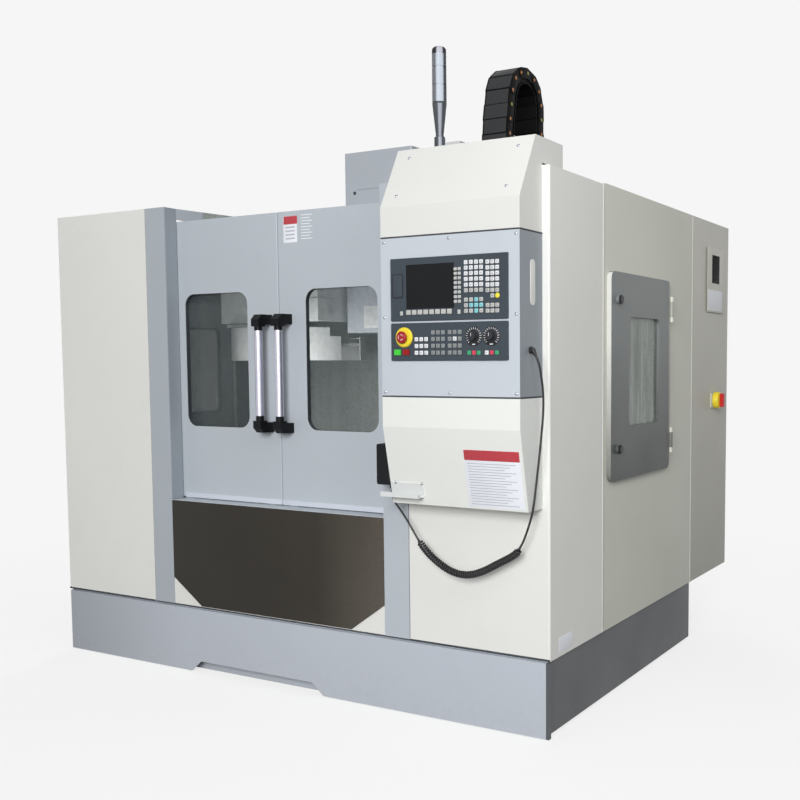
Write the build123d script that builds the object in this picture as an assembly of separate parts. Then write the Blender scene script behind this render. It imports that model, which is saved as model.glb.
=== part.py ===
from build123d import *
import math
import os

# Vertical machining centre in a full sheet-metal guard. Millimetres, +Z up, +Y to the back.
# Every piece is drawn with Y = 0 on the front covers and X = 0 midway between the guard's sides,
# and is set back by CENTRE_Y as it is written, so that the origin lies under the middle of the whole.

# Guard
GUARD_WIDTH = 2270.0
GUARD_DEPTH = 1844.0
FRONT_TOP = 1800.0
SIDE_TOP = 1810.0
RIGHT_FRONT_TOP = 1804.0
PANEL_BOTTOM = 254.0
SHEET = 3.0
SEAM = 3.0
LEFT_COVER_WIDTH = 512.0
LEFT_POST_WIDTH = 103.0
DOOR_OPENING_WIDTH = 1014.0
RIGHT_POST_WIDTH = 106.0
FRONT_COVER_DEPTH = 422.0
MIDDLE_PANEL_END = 1352.0
FOLD_RADIUS = 7.0

# Plinth and feet
PLINTH_TOP = 250.0
PLINTH_PROUD = 8.0
PLINTH_INSET = 9.0
PLINTH_LEFT_INSET = 15.0
SKIRT_FRONT = 24.0
PLINTH_SHEET = 4.0
NOTCH_FROM = -425.0
NOTCH_TO = 226.0
NOTCH_HEIGHT = 46.0
NOTCH_RUN = 50.0
FOOT_RADIUS = 55.0
FOOT_STUD_RADIUS = 12.0

# Sliding doors
DOOR_FRONT = 64.0
DOOR_THICK = 30.0
DOOR_BOTTOM = 677.0
DOOR_TOP = 1750.0
DOOR_SKIN = 2.5
DOOR_OVERLAP = 20.0
DOOR_MEETING_GAP = 2.0
DOOR_TRAVEL = 430.0
WINDOW_BOTTOM = 957.0
WINDOW_TOP = 1468.0
WINDOW_RADIUS = 45.0
LEFT_WINDOW_FROM_MEETING = (-474.0, -153.0)
RIGHT_WINDOW_FROM_MEETING = (127.0, 446.0)
WINDOW_COLLAR = 12.0
GLASS_THICK = 6.0
GLASS_LAP = 8.0
HANDLE_RADIUS = 15.0
HANDLE_STAND_OFF = 56.0
HANDLE_BOTTOM = 946.0
HANDLE_TOP = 1379.0
LEFT_HANDLE_FROM_MEETING = -50.0
RIGHT_HANDLE_FROM_MEETING = 45.0
SILL_TOP = 672.0
ROLLER_RADIUS = 20.0
RAIL_HEIGHT = 36.0
POCKET_CLEARANCE = 20.0
FRONT_BEAM_END = 466.0
FRONT_BEAM_BOTTOM = 1640.0
CHIP_FLOOR_EDGE = 560.0

# Apron under the doors
APRON_BOTTOM = 262.0
APRON_TOP = 669.0
APRON_CHAMFER = (145.0, 102.0)

# Side doors
SIDE_DOOR_FRONT = 441.0
SIDE_DOOR_REAR = 1025.0
SIDE_DOOR_BOTTOM = 780.0
SIDE_DOOR_TOP = 1515.0
SIDE_DOOR_THICK = 18.0
SIDE_DOOR_LAP = 12.0
SIDE_DOOR_RADIUS = 30.0
SIDE_WINDOW_FRONT = 602.0
SIDE_WINDOW_REAR = 907.0
SIDE_WINDOW_BOTTOM = 969.0
SIDE_WINDOW_TOP = 1362.0
SIDE_WINDOW_RADIUS = 25.0
SIDE_LATCH_Y = 495.0
SIDE_LATCH_HEIGHTS = (893.0, 1418.0)
LATCH_RADIUS = 16.0
LATCH_PROUD = 18.0
HINGE_PIN_RADIUS = 5.0
HINGE_KNUCKLE_RADIUS = 9.0

# Electrical cabinet at the back
CABINET_LEFT = -235.0
CABINET_FRONT = 1541.0
CABINET_SHEET = 2.5
CABINET_DOOR_THICK = 12.0
CABINET_DOOR_MARGIN = 35.0
CABLE_ENTRY_RADIUS = 16.0
CABLE_ENTRY_LENGTH = 14.0
GRILLE_FRONT = 1550.0
GRILLE_REAR = 1772.0
GRILLE_BOTTOM = 1423.0
GRILLE_TOP = 1683.0
ISOLATOR_Y = 1650.0
ISOLATOR_Z = 1026.0
ISOLATOR_PLATE = (100.0, 68.0)

# Operator's station on the right front cover
STATION_LEFT = 606.0
STATION_RIGHT = 1110.0
STATION_PROUD = 148.0
BOX_BOTTOM = 1094.0
BOX_TOP = 1597.0
HOOD_BREAK = 1693.0
HOOD_TOP = 1889.0
HOOD_TOP_FRONT = -44.0
HOOD_TOP_REAR = 144.0
LOWER_BREAK = 996.0
LOWER_BOTTOM = 742.0
LOWER_BOTTOM_FRONT = -95.0
STATION_SHEET = 3.0
UNIT_LEFT = 645.5
UNIT_WIDTH = 427.0
UNIT_BOTTOM = 1332.0
UNIT_HEIGHT = 197.0
UNIT_PROUD = 5.0
PANEL_UNIT_BOTTOM = 1207.0
PANEL_UNIT_HEIGHT = 119.0
SCREEN_LEFT = 712.0
SCREEN_BOTTOM = 1373.5
SCREEN_SIZE = (166.0, 128.0)
SLOT_COVER = ((653.0, 687.0), (1409.0, 1473.0))
KEY_PROUD = 1.6
LETTER_KEYS = ((927.0, 945.2, 963.5, 981.0), (1420.8, 1437.6, 1454.8, 1472.0, 1489.0, 1505.5))
NUMBER_KEYS = ((1003.3, 1020.0, 1036.6), (1418.5, 1435.0, 1452.0, 1469.3, 1486.3, 1503.5))
ARROW_KEYS = ((927.0, 945.2, 963.5, 981.0), (1358.5, 1375.5, 1392.4))
EDIT_KEYS = ((1003.3, 1020.0, 1036.6), (1357.0, 1373.8))
SIDE_KEYS = ((889.5, 903.6), (1388.4, 1402.6, 1416.8, 1431.0, 1445.2, 1459.4, 1473.4, 1487.2))
SOFT_KEYS = (715.0, 736.7, 758.4, 780.1, 801.8, 823.5, 845.2, 867.0)
SOFT_KEY_Z = 1359.0
PANEL_KEYS_LEFT = ((744.2, 762.4, 780.6), (1232.5, 1253.6, 1274.6))
PANEL_KEYS_MIDDLE = ((806.0, 824.4, 842.8), (1232.2, 1253.4, 1274.6, 1295.0))
PANEL_KEYS_RIGHT = ((867.4, 885.6, 903.8), (1232.2, 1253.4, 1274.6, 1295.0))
OVERRIDE_KEYS = (937.6, 954.4, 971.2, 999.4, 1017.0, 1034.8)
OVERRIDE_KEY_Z = 1231.0
ESTOP_X = 698.0
ESTOP_Z = 1281.0
ESTOP_COLLAR_RADIUS = 31.5
ESTOP_COLLAR_THICK = 8.0
ESTOP_PROUD = 22.0
ESTOP_TRAVEL = 4.0
ESTOP_EDGE = 6.0
START_X = 672.0
STOP_X = 705.0
BUTTON_Z = 1234.0
BUTTON_SIZE = (24.0, 18.0)
BUTTON_TRAVEL = 2.5
FEED_DIAL_X = 953.0
SPINDLE_DIAL_X = 1015.0
DIAL_Z = 1281.0
DIAL_RADIUS = 13.0
DIAL_PLATE_RADIUS = 30.0

# Pendant, its tray and its cord
PENDANT_X = (549.0, 603.0)
PENDANT_Y = (-112.0, -28.0)
PENDANT_Z = (800.0, 935.0)
PENDANT_DIAL_RADIUS = 24.0
CORD_RADIUS = 3.5
CURL_RADIUS = 12.5
CORD_Y = -60.0
GLAND_Y = -83.0
GLAND_Z = 1238.0
GLAND_RADIUS = 11.0
GLAND_NUT = 9.0
RELIEF_LENGTH = 20.0

# Signal lamp on the hood
LAMP_X = 675.0
LAMP_Y = 100.0
LAMP_COLLAR_RADIUS = 18.5
LAMP_RADIUS = 24.0
LAMP_CONE_BOTTOM = 1962.0
LAMP_TUBE_BOTTOM = 2063.0
LAMP_TOP = 2246.0

# Machine inside the guard
SPINDLE_X = -10.0
SPINDLE_Y = 775.0
NOSE_Z = 1298.0
TABLE_TOP = 850.0
TABLE_LENGTH = 800.0
TABLE_WIDTH = 400.0
TABLE_THICK = 90.0
T_SLOT_WIDTH = 18.0
T_SLOT_HEAD = 30.0
T_SLOT_DEPTH = 18.0
T_SLOT_HEAD_DEPTH = 12.0
T_SLOT_PITCH = 125.0
T_SLOTS = 3
X_TRAVEL = 325.0
Y_TRAVEL = 200.0
Z_DOWN = 380.0
Z_UP = 120.0
RAIL_WIDTH = 30.0
RAIL_TALL = 27.0
RUNNING_GAP = 0.08
BED_TOP = 520.0
BED_FRONT = 250.0
BED_HALF_WIDTH = 320.0
BED_BOTTOM = 60.0
Y_RAIL_OFFSET = 230.0
SADDLE_TOP = 680.0
SADDLE_BOTTOM = 570.0
SADDLE_HALF_LENGTH = 520.0
SADDLE_WIDTH = 400.0
X_RAIL_OFFSET = 130.0
COLUMN_FACE = 1245.0
COLUMN_REAR = 1500.0
COLUMN_TOP = 2060.0
COLUMN_HALF_WIDTH = 230.0
Z_RAIL_OFFSET = 170.0
SCREW_RADIUS = 16.0
SCREW_JOURNAL_RADIUS = 12.0
HEAD_COVER_WIDTH = 344.0
HEAD_COVER_FRONT = 690.0
HEAD_COVER_BOTTOM = 1328.0
HEAD_COVER_TOP = 2083.0
NOSE_RADIUS = 55.0
SPINDLE_RADIUS = 44.0
TAPER_MOUTH_RADIUS = 22.225
TAPER_DEPTH = 68.0
TAPER_RATE = 7.0 / 48.0
DRAWBAR_RADIUS = 9.0

# Tool magazine
MAGAZINE_REACH = 258.0
POCKET_RADIUS = 250.0
DRUM_RADIUS = 298.0
DRUM_TOP = 1353.0
DRUM_LOW_TOP = 1315.0
DRUM_NOTCH_CLEARANCE = 13.0
DRUM_BOTTOM = 1212.0
DRUM_SHEET = 4.0
PAN_TOP = 1310.0
PAN_THICK = 4.0
GRIPPER_TOP = 1290.0
GRIPPER_THICK = 16.0
GRIPPER_DISC_RADIUS = 205.0
GRIPPER_WIDTH = 76.0
SHAFT_RADIUS = 18.0
CARRIAGE_BOTTOM = 1358.0
POCKETS = 16
TOOL_FLANGE_RADIUS = 31.5
HOUSING_LEFT = -785.0
HOUSING_RIGHT = -200.0
HOUSING_FRONT = 560.0
HOUSING_REAR = 980.0
HOUSING_BOTTOM = 1375.0
HOUSING_TOP = 1650.0
SLIDE_BARS_Y = (620.0, 880.0)
SLIDE_BAR_RADIUS = 14.0
SLIDE_BAR_Z = 1400.0

# Cable chain over the head
CHAIN_X = (260.0, 388.0)
CHAIN_FRONT = 1100.0
CHAIN_REAR = 1441.0
CHAIN_TOP = 2508.0
CHAIN_THICK = 42.0
CHAIN_HEAD_END = 1897.0
CHAIN_FIXED_END = 1830.0
CHAIN_PITCH = 64.0
CHAIN_LINK_GAP = 11.0
CHAIN_PIN_RADIUS = 7.0
CHAIN_PIN_PROUD = 1.5

# Worked out from the sizes above
HALF = GUARD_WIDTH / 2
OPENING_LEFT = -HALF + LEFT_COVER_WIDTH + SEAM + LEFT_POST_WIDTH - SEAM + SEAM
OPENING_RIGHT = OPENING_LEFT + DOOR_OPENING_WIDTH
RIGHT_COVER_LEFT = OPENING_RIGHT + RIGHT_POST_WIDTH
DOOR_BACK = DOOR_FRONT + DOOR_THICK
MEETING_X = (OPENING_LEFT + OPENING_RIGHT) / 2
LEFT_WINDOW = tuple(MEETING_X + x for x in LEFT_WINDOW_FROM_MEETING)
RIGHT_WINDOW = tuple(MEETING_X + x for x in RIGHT_WINDOW_FROM_MEETING)
LEFT_HANDLE_X = MEETING_X + LEFT_HANDLE_FROM_MEETING
RIGHT_HANDLE_X = MEETING_X + RIGHT_HANDLE_FROM_MEETING
MAGAZINE_X = SPINDLE_X - POCKET_RADIUS - MAGAZINE_REACH
ISOLATOR_PROUD = 48.0
BRACKET_ARM_X = (-330.0, SPINDLE_X - COLUMN_HALF_WIDTH)
BRACKET_ARM_Z = (1440.0, 1500.0)
FRONT_REACH = STATION_PROUD + UNIT_PROUD + ESTOP_PROUD
CENTRE_Y = (GUARD_DEPTH + CABINET_DOOR_THICK - FRONT_REACH) / 2


def block(x, y, z):
    """Box between two limits on each axis."""
    size = [abs(pair[1] - pair[0]) for pair in (x, y, z)]
    middle = [(pair[0] + pair[1]) / 2 for pair in (x, y, z)]
    return Pos(*middle) * Box(*size)


def rod(base, direction, radius, length):
    """Cylinder that starts at base and runs along direction."""
    start = Plane(origin=base, z_dir=direction)
    return start * Cylinder(radius, length, align=(Align.CENTER, Align.CENTER, Align.MIN))


def front_plate(face, y, thickness):
    """Outline drawn in X and Z, from y towards the back."""
    return Pos(0, y, 0) * extrude(Plane.XZ * face, amount=-thickness)


def side_plate(face, x, thickness):
    """Outline drawn in Y and Z, from x to the right."""
    return Pos(x, 0, 0) * extrude(Plane.YZ * face, amount=thickness)


def flat_plate(face, z, thickness):
    """Outline drawn in X and Y, from z upwards."""
    return Pos(0, 0, z) * extrude(Plane.XY * face, amount=thickness)


def rounded(low, high, radius):
    """Rectangle with rounded corners between two corner points."""
    width = high[0] - low[0]
    height = high[1] - low[1]
    return Pos((low[0] + high[0]) / 2, (low[1] + high[1]) / 2) * RectangleRounded(width, height, radius)


def outline(*points):
    """Face inside a closed run of straight edges."""
    return make_face(Polyline(*points, close=True))


def mirrored(shape):
    """The same piece on the other side of the middle plane X = 0."""
    return mirror(shape, about=Plane.YZ)


def write(name, *solids):
    """Sets a node on the part's origin and writes it."""
    loose = [solid for shape in solids for solid in shape.solids()]
    placed = [Pos(0, -CENTRE_Y, 0) * solid for solid in loose]
    export_step(Compound(children=placed) if len(placed) > 1 else placed[0], f"parts/{name}.step")


# Guard panels


def corner_cover(inner_x, top):
    """Front cover folded round the left corner: face, side wall, lid and the two returns."""
    outer = block((-HALF, inner_x), (0, FRONT_COVER_DEPTH), (PANEL_BOTTOM, top))
    outer = fillet(outer.edges().filter_by(Axis.Z).group_by(Axis.Y)[0].sort_by(Axis.X)[0], FOLD_RADIUS)
    inside = block(
        (-HALF + SHEET, inner_x + 1), (SHEET, FRONT_COVER_DEPTH + 1), (PANEL_BOTTOM - 1, top - SHEET),
    )
    inside = fillet(
        inside.edges().filter_by(Axis.Z).group_by(Axis.Y)[0].sort_by(Axis.X)[0], FOLD_RADIUS - SHEET,
    )
    lid_cut = block(
        (-HALF + SHEET, inner_x + 1), (DOOR_FRONT - SEAM, FRONT_COVER_DEPTH + 1),
        (top - SHEET - 1, top + 1),
    )
    edge_return = block((inner_x - SHEET, inner_x), (SHEET, 25), (PANEL_BOTTOM, top - SHEET))
    return outer - inside - lid_cut + edge_return


def make_left_front_cover():
    return corner_cover(-HALF + LEFT_COVER_WIDTH, FRONT_TOP)


def make_right_front_cover():
    return mirrored(corner_cover(-RIGHT_COVER_LEFT, RIGHT_FRONT_TOP))


def post(x0, x1):
    """Door post: a channel open to the back."""
    outer = block((x0, x1), (0, DOOR_FRONT - SEAM), (PANEL_BOTTOM, FRONT_TOP))
    inside = block((x0 + SHEET, x1 - SHEET), (SHEET, DOOR_FRONT), (PANEL_BOTTOM - 1, FRONT_TOP - SHEET))
    return outer - inside


def make_door_frame():
    """Two posts, the sill with its guide channel, and the rail that the door rollers run on."""
    left = post(OPENING_LEFT - LEFT_POST_WIDTH, OPENING_LEFT)
    right = post(OPENING_RIGHT, OPENING_RIGHT + RIGHT_POST_WIDTH - SEAM)
    ledge_profile = outline(
        (0, SILL_TOP), (DOOR_FRONT - 1, SILL_TOP), (DOOR_FRONT - 1, SILL_TOP - 25), (
            DOOR_BACK + 1, SILL_TOP - 25,
        ),
        (DOOR_BACK + 1, SILL_TOP), (DOOR_BACK + 1 + SHEET, SILL_TOP), (
            DOOR_BACK + 1 + SHEET, SILL_TOP - 25 - SHEET,
        ),
        (DOOR_FRONT - 1 - SHEET, SILL_TOP - 25 - SHEET), (DOOR_FRONT - 1 - SHEET, SILL_TOP - SHEET),
        (0, SILL_TOP - SHEET),
    )
    sill = side_plate(ledge_profile, OPENING_LEFT, DOOR_OPENING_WIDTH)
    rail_y = (DOOR_BACK + 6, DOOR_BACK + 14)
    rail_top = DOOR_TOP - 2 * ROLLER_RADIUS - 8
    rail = block((-HALF + SHEET, HALF - SHEET), rail_y, (rail_top - RAIL_HEIGHT, rail_top))
    return [left, right, sill, rail]


def make_apron_panel():
    """Glossy panel under the sill, its lower corners cut off, with a folded top edge."""
    run, rise = APRON_CHAMFER
    left, right = OPENING_LEFT + 1, OPENING_RIGHT - 1
    face = outline(
        (left, APRON_TOP), (right, APRON_TOP), (right, APRON_BOTTOM + rise), (right - run, APRON_BOTTOM),
        (left + run, APRON_BOTTOM), (left, APRON_BOTTOM + rise),
    )
    return front_plate(face, 0, SHEET)


def make_lower_front_panel():
    return block((OPENING_LEFT, OPENING_RIGHT), (SHEET, 2 * SHEET), (PANEL_BOTTOM, APRON_TOP))


def access_panel():
    """Right middle side panel with the opening of the access door, and its inner flanges."""
    face = outline(
        (FRONT_COVER_DEPTH + SEAM, PANEL_BOTTOM), (MIDDLE_PANEL_END - SEAM, PANEL_BOTTOM),
        (MIDDLE_PANEL_END - SEAM, SIDE_TOP), (FRONT_COVER_DEPTH + SEAM, SIDE_TOP),
    )
    hole = rounded(
        (SIDE_DOOR_FRONT + SIDE_DOOR_LAP, SIDE_DOOR_BOTTOM + SIDE_DOOR_LAP),
        (SIDE_DOOR_REAR - SIDE_DOOR_LAP, SIDE_DOOR_TOP - SIDE_DOOR_LAP), SIDE_DOOR_RADIUS,
    )
    panel = side_plate(face - hole, HALF - SHEET, SHEET)
    for y in (FRONT_COVER_DEPTH + SEAM, MIDDLE_PANEL_END - SEAM - SHEET):
        panel += block((HALF - 25, HALF - SHEET), (y, y + SHEET), (PANEL_BOTTOM, SIDE_TOP))
    return panel


def make_side_panels():
    """Middle panels of both sides, with hinge knuckles, and the corner panel behind the left one."""
    right = access_panel()
    rear_face = outline(
        (MIDDLE_PANEL_END, PANEL_BOTTOM), (CABINET_FRONT - SEAM, PANEL_BOTTOM),
        (CABINET_FRONT - SEAM, SIDE_TOP), (MIDDLE_PANEL_END, SIDE_TOP),
    )
    corner = side_plate(rear_face, -HALF, SHEET)
    corner += block(
        (-HALF, CABINET_LEFT - SEAM), (CABINET_FRONT - SEAM - SHEET, CABINET_FRONT - SEAM), (
            PANEL_BOTTOM, SIDE_TOP,
        )
    )
    return [right, mirrored(right), corner]


def make_splash_guard():
    """Beams over the doors' ends, panels behind their pockets, chip floors and the wall beside the column."""
    pocket_y = DOOR_BACK + POCKET_CLEARANCE
    beam = outline(
        (DOOR_FRONT - SEAM, FRONT_TOP - 42), (DOOR_FRONT - SEAM, FRONT_TOP), (FRONT_BEAM_END, SIDE_TOP),
        (FRONT_BEAM_END, FRONT_BEAM_BOTTOM), (pocket_y, FRONT_BEAM_BOTTOM), (pocket_y, FRONT_TOP - 42),
    )
    left_wall = side_plate(beam, OPENING_LEFT - SHEET, SHEET)
    left_wall += block(
        (-HALF + SHEET, OPENING_LEFT), (pocket_y, pocket_y + SHEET), (CHIP_FLOOR_EDGE, FRONT_TOP - 42),
    )
    right_wall = side_plate(beam, OPENING_RIGHT, SHEET)
    right_wall += block(
        (OPENING_RIGHT, HALF - SHEET), (pocket_y, pocket_y + SHEET), (CHIP_FLOOR_EDGE, FRONT_TOP - 42),
    )
    bed_left, bed_right = SPINDLE_X - BED_HALF_WIDTH, SPINDLE_X + BED_HALF_WIDTH
    outer = HALF - 26
    floor_y = DOOR_BACK + 4
    floor_depth = MIDDLE_PANEL_END - SHEET - floor_y
    slope = [(outer, CHIP_FLOOR_EDGE), (bed_right, 503), (bed_right, 500), (outer, CHIP_FLOOR_EDGE - SHEET)]
    right_floor = front_plate(outline(*slope), floor_y, floor_depth)
    slope = [(-outer, CHIP_FLOOR_EDGE), (bed_left, 503), (bed_left, 500), (-outer, CHIP_FLOOR_EDGE - SHEET)]
    left_floor = front_plate(outline(*slope), floor_y, floor_depth)
    front_floor = block((bed_left, bed_right), (floor_y, BED_FRONT), (500, 503))
    front_wall = block((bed_left, bed_right), (floor_y, floor_y + SHEET), (503, SILL_TOP - 5))
    back = block(
        (-HALF + SHEET, HALF - SHEET), (MIDDLE_PANEL_END - SHEET, MIDDLE_PANEL_END), (
            PANEL_BOTTOM, SIDE_TOP,
        )
    )
    back -= block(
        (bed_left - 2, bed_right + 2), (MIDDLE_PANEL_END - 9, MIDDLE_PANEL_END + 9), (0, BED_TOP + 52),
    )
    column_x = (SPINDLE_X - COLUMN_HALF_WIDTH - 2, SPINDLE_X + COLUMN_HALF_WIDTH + 2)
    back -= block(column_x, (MIDDLE_PANEL_END - 9, MIDDLE_PANEL_END + 9), (0, SIDE_TOP + 1))
    arm_x = (BRACKET_ARM_X[0] - 2, BRACKET_ARM_X[1] + 2)
    arm_z = (BRACKET_ARM_Z[0] - 2, BRACKET_ARM_Z[1] + 2)
    back -= block(arm_x, (MIDDLE_PANEL_END - 9, MIDDLE_PANEL_END + 9), arm_z)
    return [left_wall, right_wall, left_floor, right_floor, front_floor + front_wall, back]


def make_plinth():
    """Front plate with its notch, two side skirts and the back skirt, each with a folded top."""
    left, right = -HALF + PLINTH_LEFT_INSET, HALF
    face = outline(
        (left, 3), (NOTCH_FROM, 3), (NOTCH_FROM + NOTCH_RUN, NOTCH_HEIGHT), (
            NOTCH_TO - NOTCH_RUN, NOTCH_HEIGHT,
        ),
        (NOTCH_TO, 3), (right, 3), (right, PLINTH_TOP), (left, PLINTH_TOP),
    )
    notch_corners = [v for v in face.vertices() if left + 1 < v.X < right - 1]
    front = front_plate(fillet(notch_corners, 18), -PLINTH_PROUD, PLINTH_SHEET)
    front += block((left, right - 10), (-PLINTH_PROUD + 1, 40), (PLINTH_TOP - PLINTH_SHEET, PLINTH_TOP))
    for x in (left, right - PLINTH_SHEET):
        front += block((x, x + PLINTH_SHEET), (-PLINTH_PROUD + 1, PLINTH_PROUD), (3, PLINTH_TOP))
    skirt_x = HALF - PLINTH_INSET
    end = MIDDLE_PANEL_END + PLINTH_PROUD
    side = block((skirt_x - PLINTH_SHEET, skirt_x), (SKIRT_FRONT, end), (12, PLINTH_TOP - PLINTH_SHEET))
    side += block((skirt_x - 50, skirt_x), (40, end), (PLINTH_TOP - PLINTH_SHEET, PLINTH_TOP))
    gap_left = SPINDLE_X - BED_HALF_WIDTH - 5
    gap_right = SPINDLE_X + BED_HALF_WIDTH + 5
    back = block((-skirt_x + 50, gap_left), (end - PLINTH_SHEET, end), (12, PLINTH_TOP))
    back_right = block((gap_right, skirt_x - 50), (end - PLINTH_SHEET, end), (12, PLINTH_TOP))
    seal_x = HALF - 10
    seal = block((-seal_x, seal_x), (6, MIDDLE_PANEL_END - 2), (PLINTH_TOP, PANEL_BOTTOM))
    seal -= block(
        (-seal_x + 30, seal_x - 30), (36, MIDDLE_PANEL_END - 32), (PLINTH_TOP - 1, PANEL_BOTTOM + 1),
    )
    seal -= block((gap_left, gap_right), (36, MIDDLE_PANEL_END), (PLINTH_TOP - 1, PANEL_BOTTOM + 1))
    return [front, side, mirrored(side), back, back_right, seal]


# Side doors


def side_door():
    """Right access door: a shallow pan with a window collar, hinge leaves and two latches."""
    low = (SIDE_DOOR_FRONT, SIDE_DOOR_BOTTOM)
    high = (SIDE_DOOR_REAR, SIDE_DOOR_TOP)
    x0 = HALF + 0.5
    shell = side_plate(rounded(low, high, SIDE_DOOR_RADIUS), x0, SIDE_DOOR_THICK)
    inner_low = (low[0] + 3, low[1] + 3)
    inner_high = (high[0] - 3, high[1] - 3)
    shell -= side_plate(rounded(inner_low, inner_high, SIDE_DOOR_RADIUS - 3), x0 - 1, SIDE_DOOR_THICK - 2)
    window_low = (SIDE_WINDOW_FRONT, SIDE_WINDOW_BOTTOM)
    window_high = (SIDE_WINDOW_REAR, SIDE_WINDOW_TOP)
    collar_low = (window_low[0] - 14, window_low[1] - 14)
    collar_high = (window_high[0] + 14, window_high[1] + 14)
    collar_depth = SIDE_DOOR_THICK - GLASS_THICK - 1
    collar = rounded(collar_low, collar_high, SIDE_WINDOW_RADIUS + 14)
    shell += side_plate(collar, x0 + SIDE_DOOR_THICK - collar_depth, collar_depth)
    shell -= side_plate(rounded(window_low, window_high, SIDE_WINDOW_RADIUS), x0 - 1, SIDE_DOOR_THICK + 2)
    face = x0 + SIDE_DOOR_THICK
    for z in (SIDE_DOOR_BOTTOM + 110, SIDE_DOOR_TOP - 110):
        shell += block((face - 6, face), (SIDE_DOOR_REAR - 2, SIDE_DOOR_REAR + 10), (z - 30, z + 30))
        shell += rod((face, SIDE_DOOR_REAR + 12, z - 30), (0, 0, 1), HINGE_KNUCKLE_RADIUS, 60)
        shell -= rod((face, SIDE_DOOR_REAR + 12, z - 31), (0, 0, 1), HINGE_PIN_RADIUS + 0.1, 62)
    latches = []
    for z in SIDE_LATCH_HEIGHTS:
        knob = rod((face, SIDE_LATCH_Y, z), (1, 0, 0), LATCH_RADIUS, LATCH_PROUD)
        knob = chamfer(knob.edges().group_by(Axis.X)[-1], 3)
        latches.append(knob)
    return [shell, *latches]


def side_hinges():
    """Pins and fixed knuckles of the right access door, on the side panel."""
    face = HALF + 0.5 + SIDE_DOOR_THICK
    y = SIDE_DOOR_REAR + 12
    hinges = []
    for z in (SIDE_DOOR_BOTTOM + 110, SIDE_DOOR_TOP - 110):
        leaf = block((HALF, HALF + 6), (y - 2, y + 40), (z - 50, z + 50))
        arm = block((HALF, face), (y + 3, y + 13), (z - 50, z - 30.3))
        arm += block((HALF, face), (y + 3, y + 13), (z + 30.3, z + 50))
        pin = rod((face, y, z - 50), (0, 0, 1), HINGE_PIN_RADIUS, 100)
        ends = rod((face, y, z - 50), (0, 0, 1), HINGE_KNUCKLE_RADIUS, 19.7)
        ends += rod((face, y, z + 30.3), (0, 0, 1), HINGE_KNUCKLE_RADIUS, 19.7)
        hinges.append(leaf + arm + ends + pin)
    return hinges


def side_glass():
    """Right access door's pane, against the back of the window collar."""
    low = (SIDE_WINDOW_FRONT - GLASS_LAP, SIDE_WINDOW_BOTTOM - GLASS_LAP)
    high = (SIDE_WINDOW_REAR + GLASS_LAP, SIDE_WINDOW_TOP + GLASS_LAP)
    x = HALF + 0.5 + SIDE_DOOR_THICK - (SIDE_DOOR_THICK - GLASS_THICK - 1) - GLASS_THICK
    return side_plate(rounded(low, high, SIDE_WINDOW_RADIUS + GLASS_LAP), x, GLASS_THICK)


# Sliding doors


def sliding_door(x0, x1, window):
    """Door pan with its window collar, and two rollers on axles at the top."""
    shell = block((x0, x1), (DOOR_FRONT, DOOR_BACK), (DOOR_BOTTOM, DOOR_TOP))
    shell = fillet(shell.edges().filter_by(Axis.Z).group_by(Axis.Y)[0], 4)
    shell -= block(
        (x0 + DOOR_SKIN, x1 - DOOR_SKIN), (DOOR_FRONT + DOOR_SKIN, DOOR_BACK + 1),
        (DOOR_BOTTOM + DOOR_SKIN, DOOR_TOP - DOOR_SKIN),
    )
    collar = rounded(
        (window[0] - WINDOW_COLLAR, WINDOW_BOTTOM - WINDOW_COLLAR), (
            window[1] + WINDOW_COLLAR, WINDOW_TOP + WINDOW_COLLAR,
        ),
        WINDOW_RADIUS + WINDOW_COLLAR,
    )
    shell += front_plate(collar, DOOR_FRONT, DOOR_THICK - GLASS_THICK - 4)
    hole = rounded((window[0], WINDOW_BOTTOM), (window[1], WINDOW_TOP), WINDOW_RADIUS)
    shell -= front_plate(hole, DOOR_FRONT - 1, DOOR_THICK + 2)
    axle_z = DOOR_TOP - ROLLER_RADIUS - 8 + RUNNING_GAP
    for x in (x0 + 70, x1 - 70):
        shell += rod((x, DOOR_FRONT + DOOR_SKIN, axle_z), (0, 1, 0), 7, DOOR_THICK + 16)
        shell += rod((x, DOOR_BACK + 2, axle_z), (0, 1, 0), ROLLER_RADIUS, 16)
    for x in (x0 + 30, x1 - 70):
        shell += block((x, x + 40), (DOOR_FRONT + 1, DOOR_BACK - 1), (SILL_TOP - 20, DOOR_BOTTOM + 2))
    return shell


def door_glass(window):
    low = (window[0] - GLASS_LAP, WINDOW_BOTTOM - GLASS_LAP)
    high = (window[1] + GLASS_LAP, WINDOW_TOP + GLASS_LAP)
    return front_plate(
        rounded(low, high, WINDOW_RADIUS + GLASS_LAP), DOOR_BACK - GLASS_THICK - 4, GLASS_THICK,
    )


def door_handle(x):
    """Tube between two cast end caps that are bent back to the door through a mitred corner."""
    axis_y = DOOR_FRONT - HANDLE_STAND_OFF
    cap = HANDLE_RADIUS + 3
    arm_profile = outline(
        (DOOR_FRONT, HANDLE_BOTTOM), (axis_y, HANDLE_BOTTOM), (axis_y - cap, HANDLE_BOTTOM + cap),
        (axis_y - cap, HANDLE_BOTTOM + 44), (axis_y + cap, HANDLE_BOTTOM + 44),
        (axis_y + cap, HANDLE_BOTTOM + 2 * cap), (DOOR_FRONT, HANDLE_BOTTOM + 2 * cap),
    )
    low_cap = side_plate(arm_profile, x - cap, 2 * cap)
    middle = (HANDLE_BOTTOM + HANDLE_TOP) / 2
    high_cap = mirror(low_cap, about=Plane(origin=(0, 0, middle), z_dir=(0, 0, 1)))
    tube = rod((x, axis_y, HANDLE_BOTTOM + 44), (0, 0, 1), HANDLE_RADIUS, HANDLE_TOP - HANDLE_BOTTOM - 88)
    return [low_cap, high_cap, tube]


# Electrical cabinet


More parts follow.
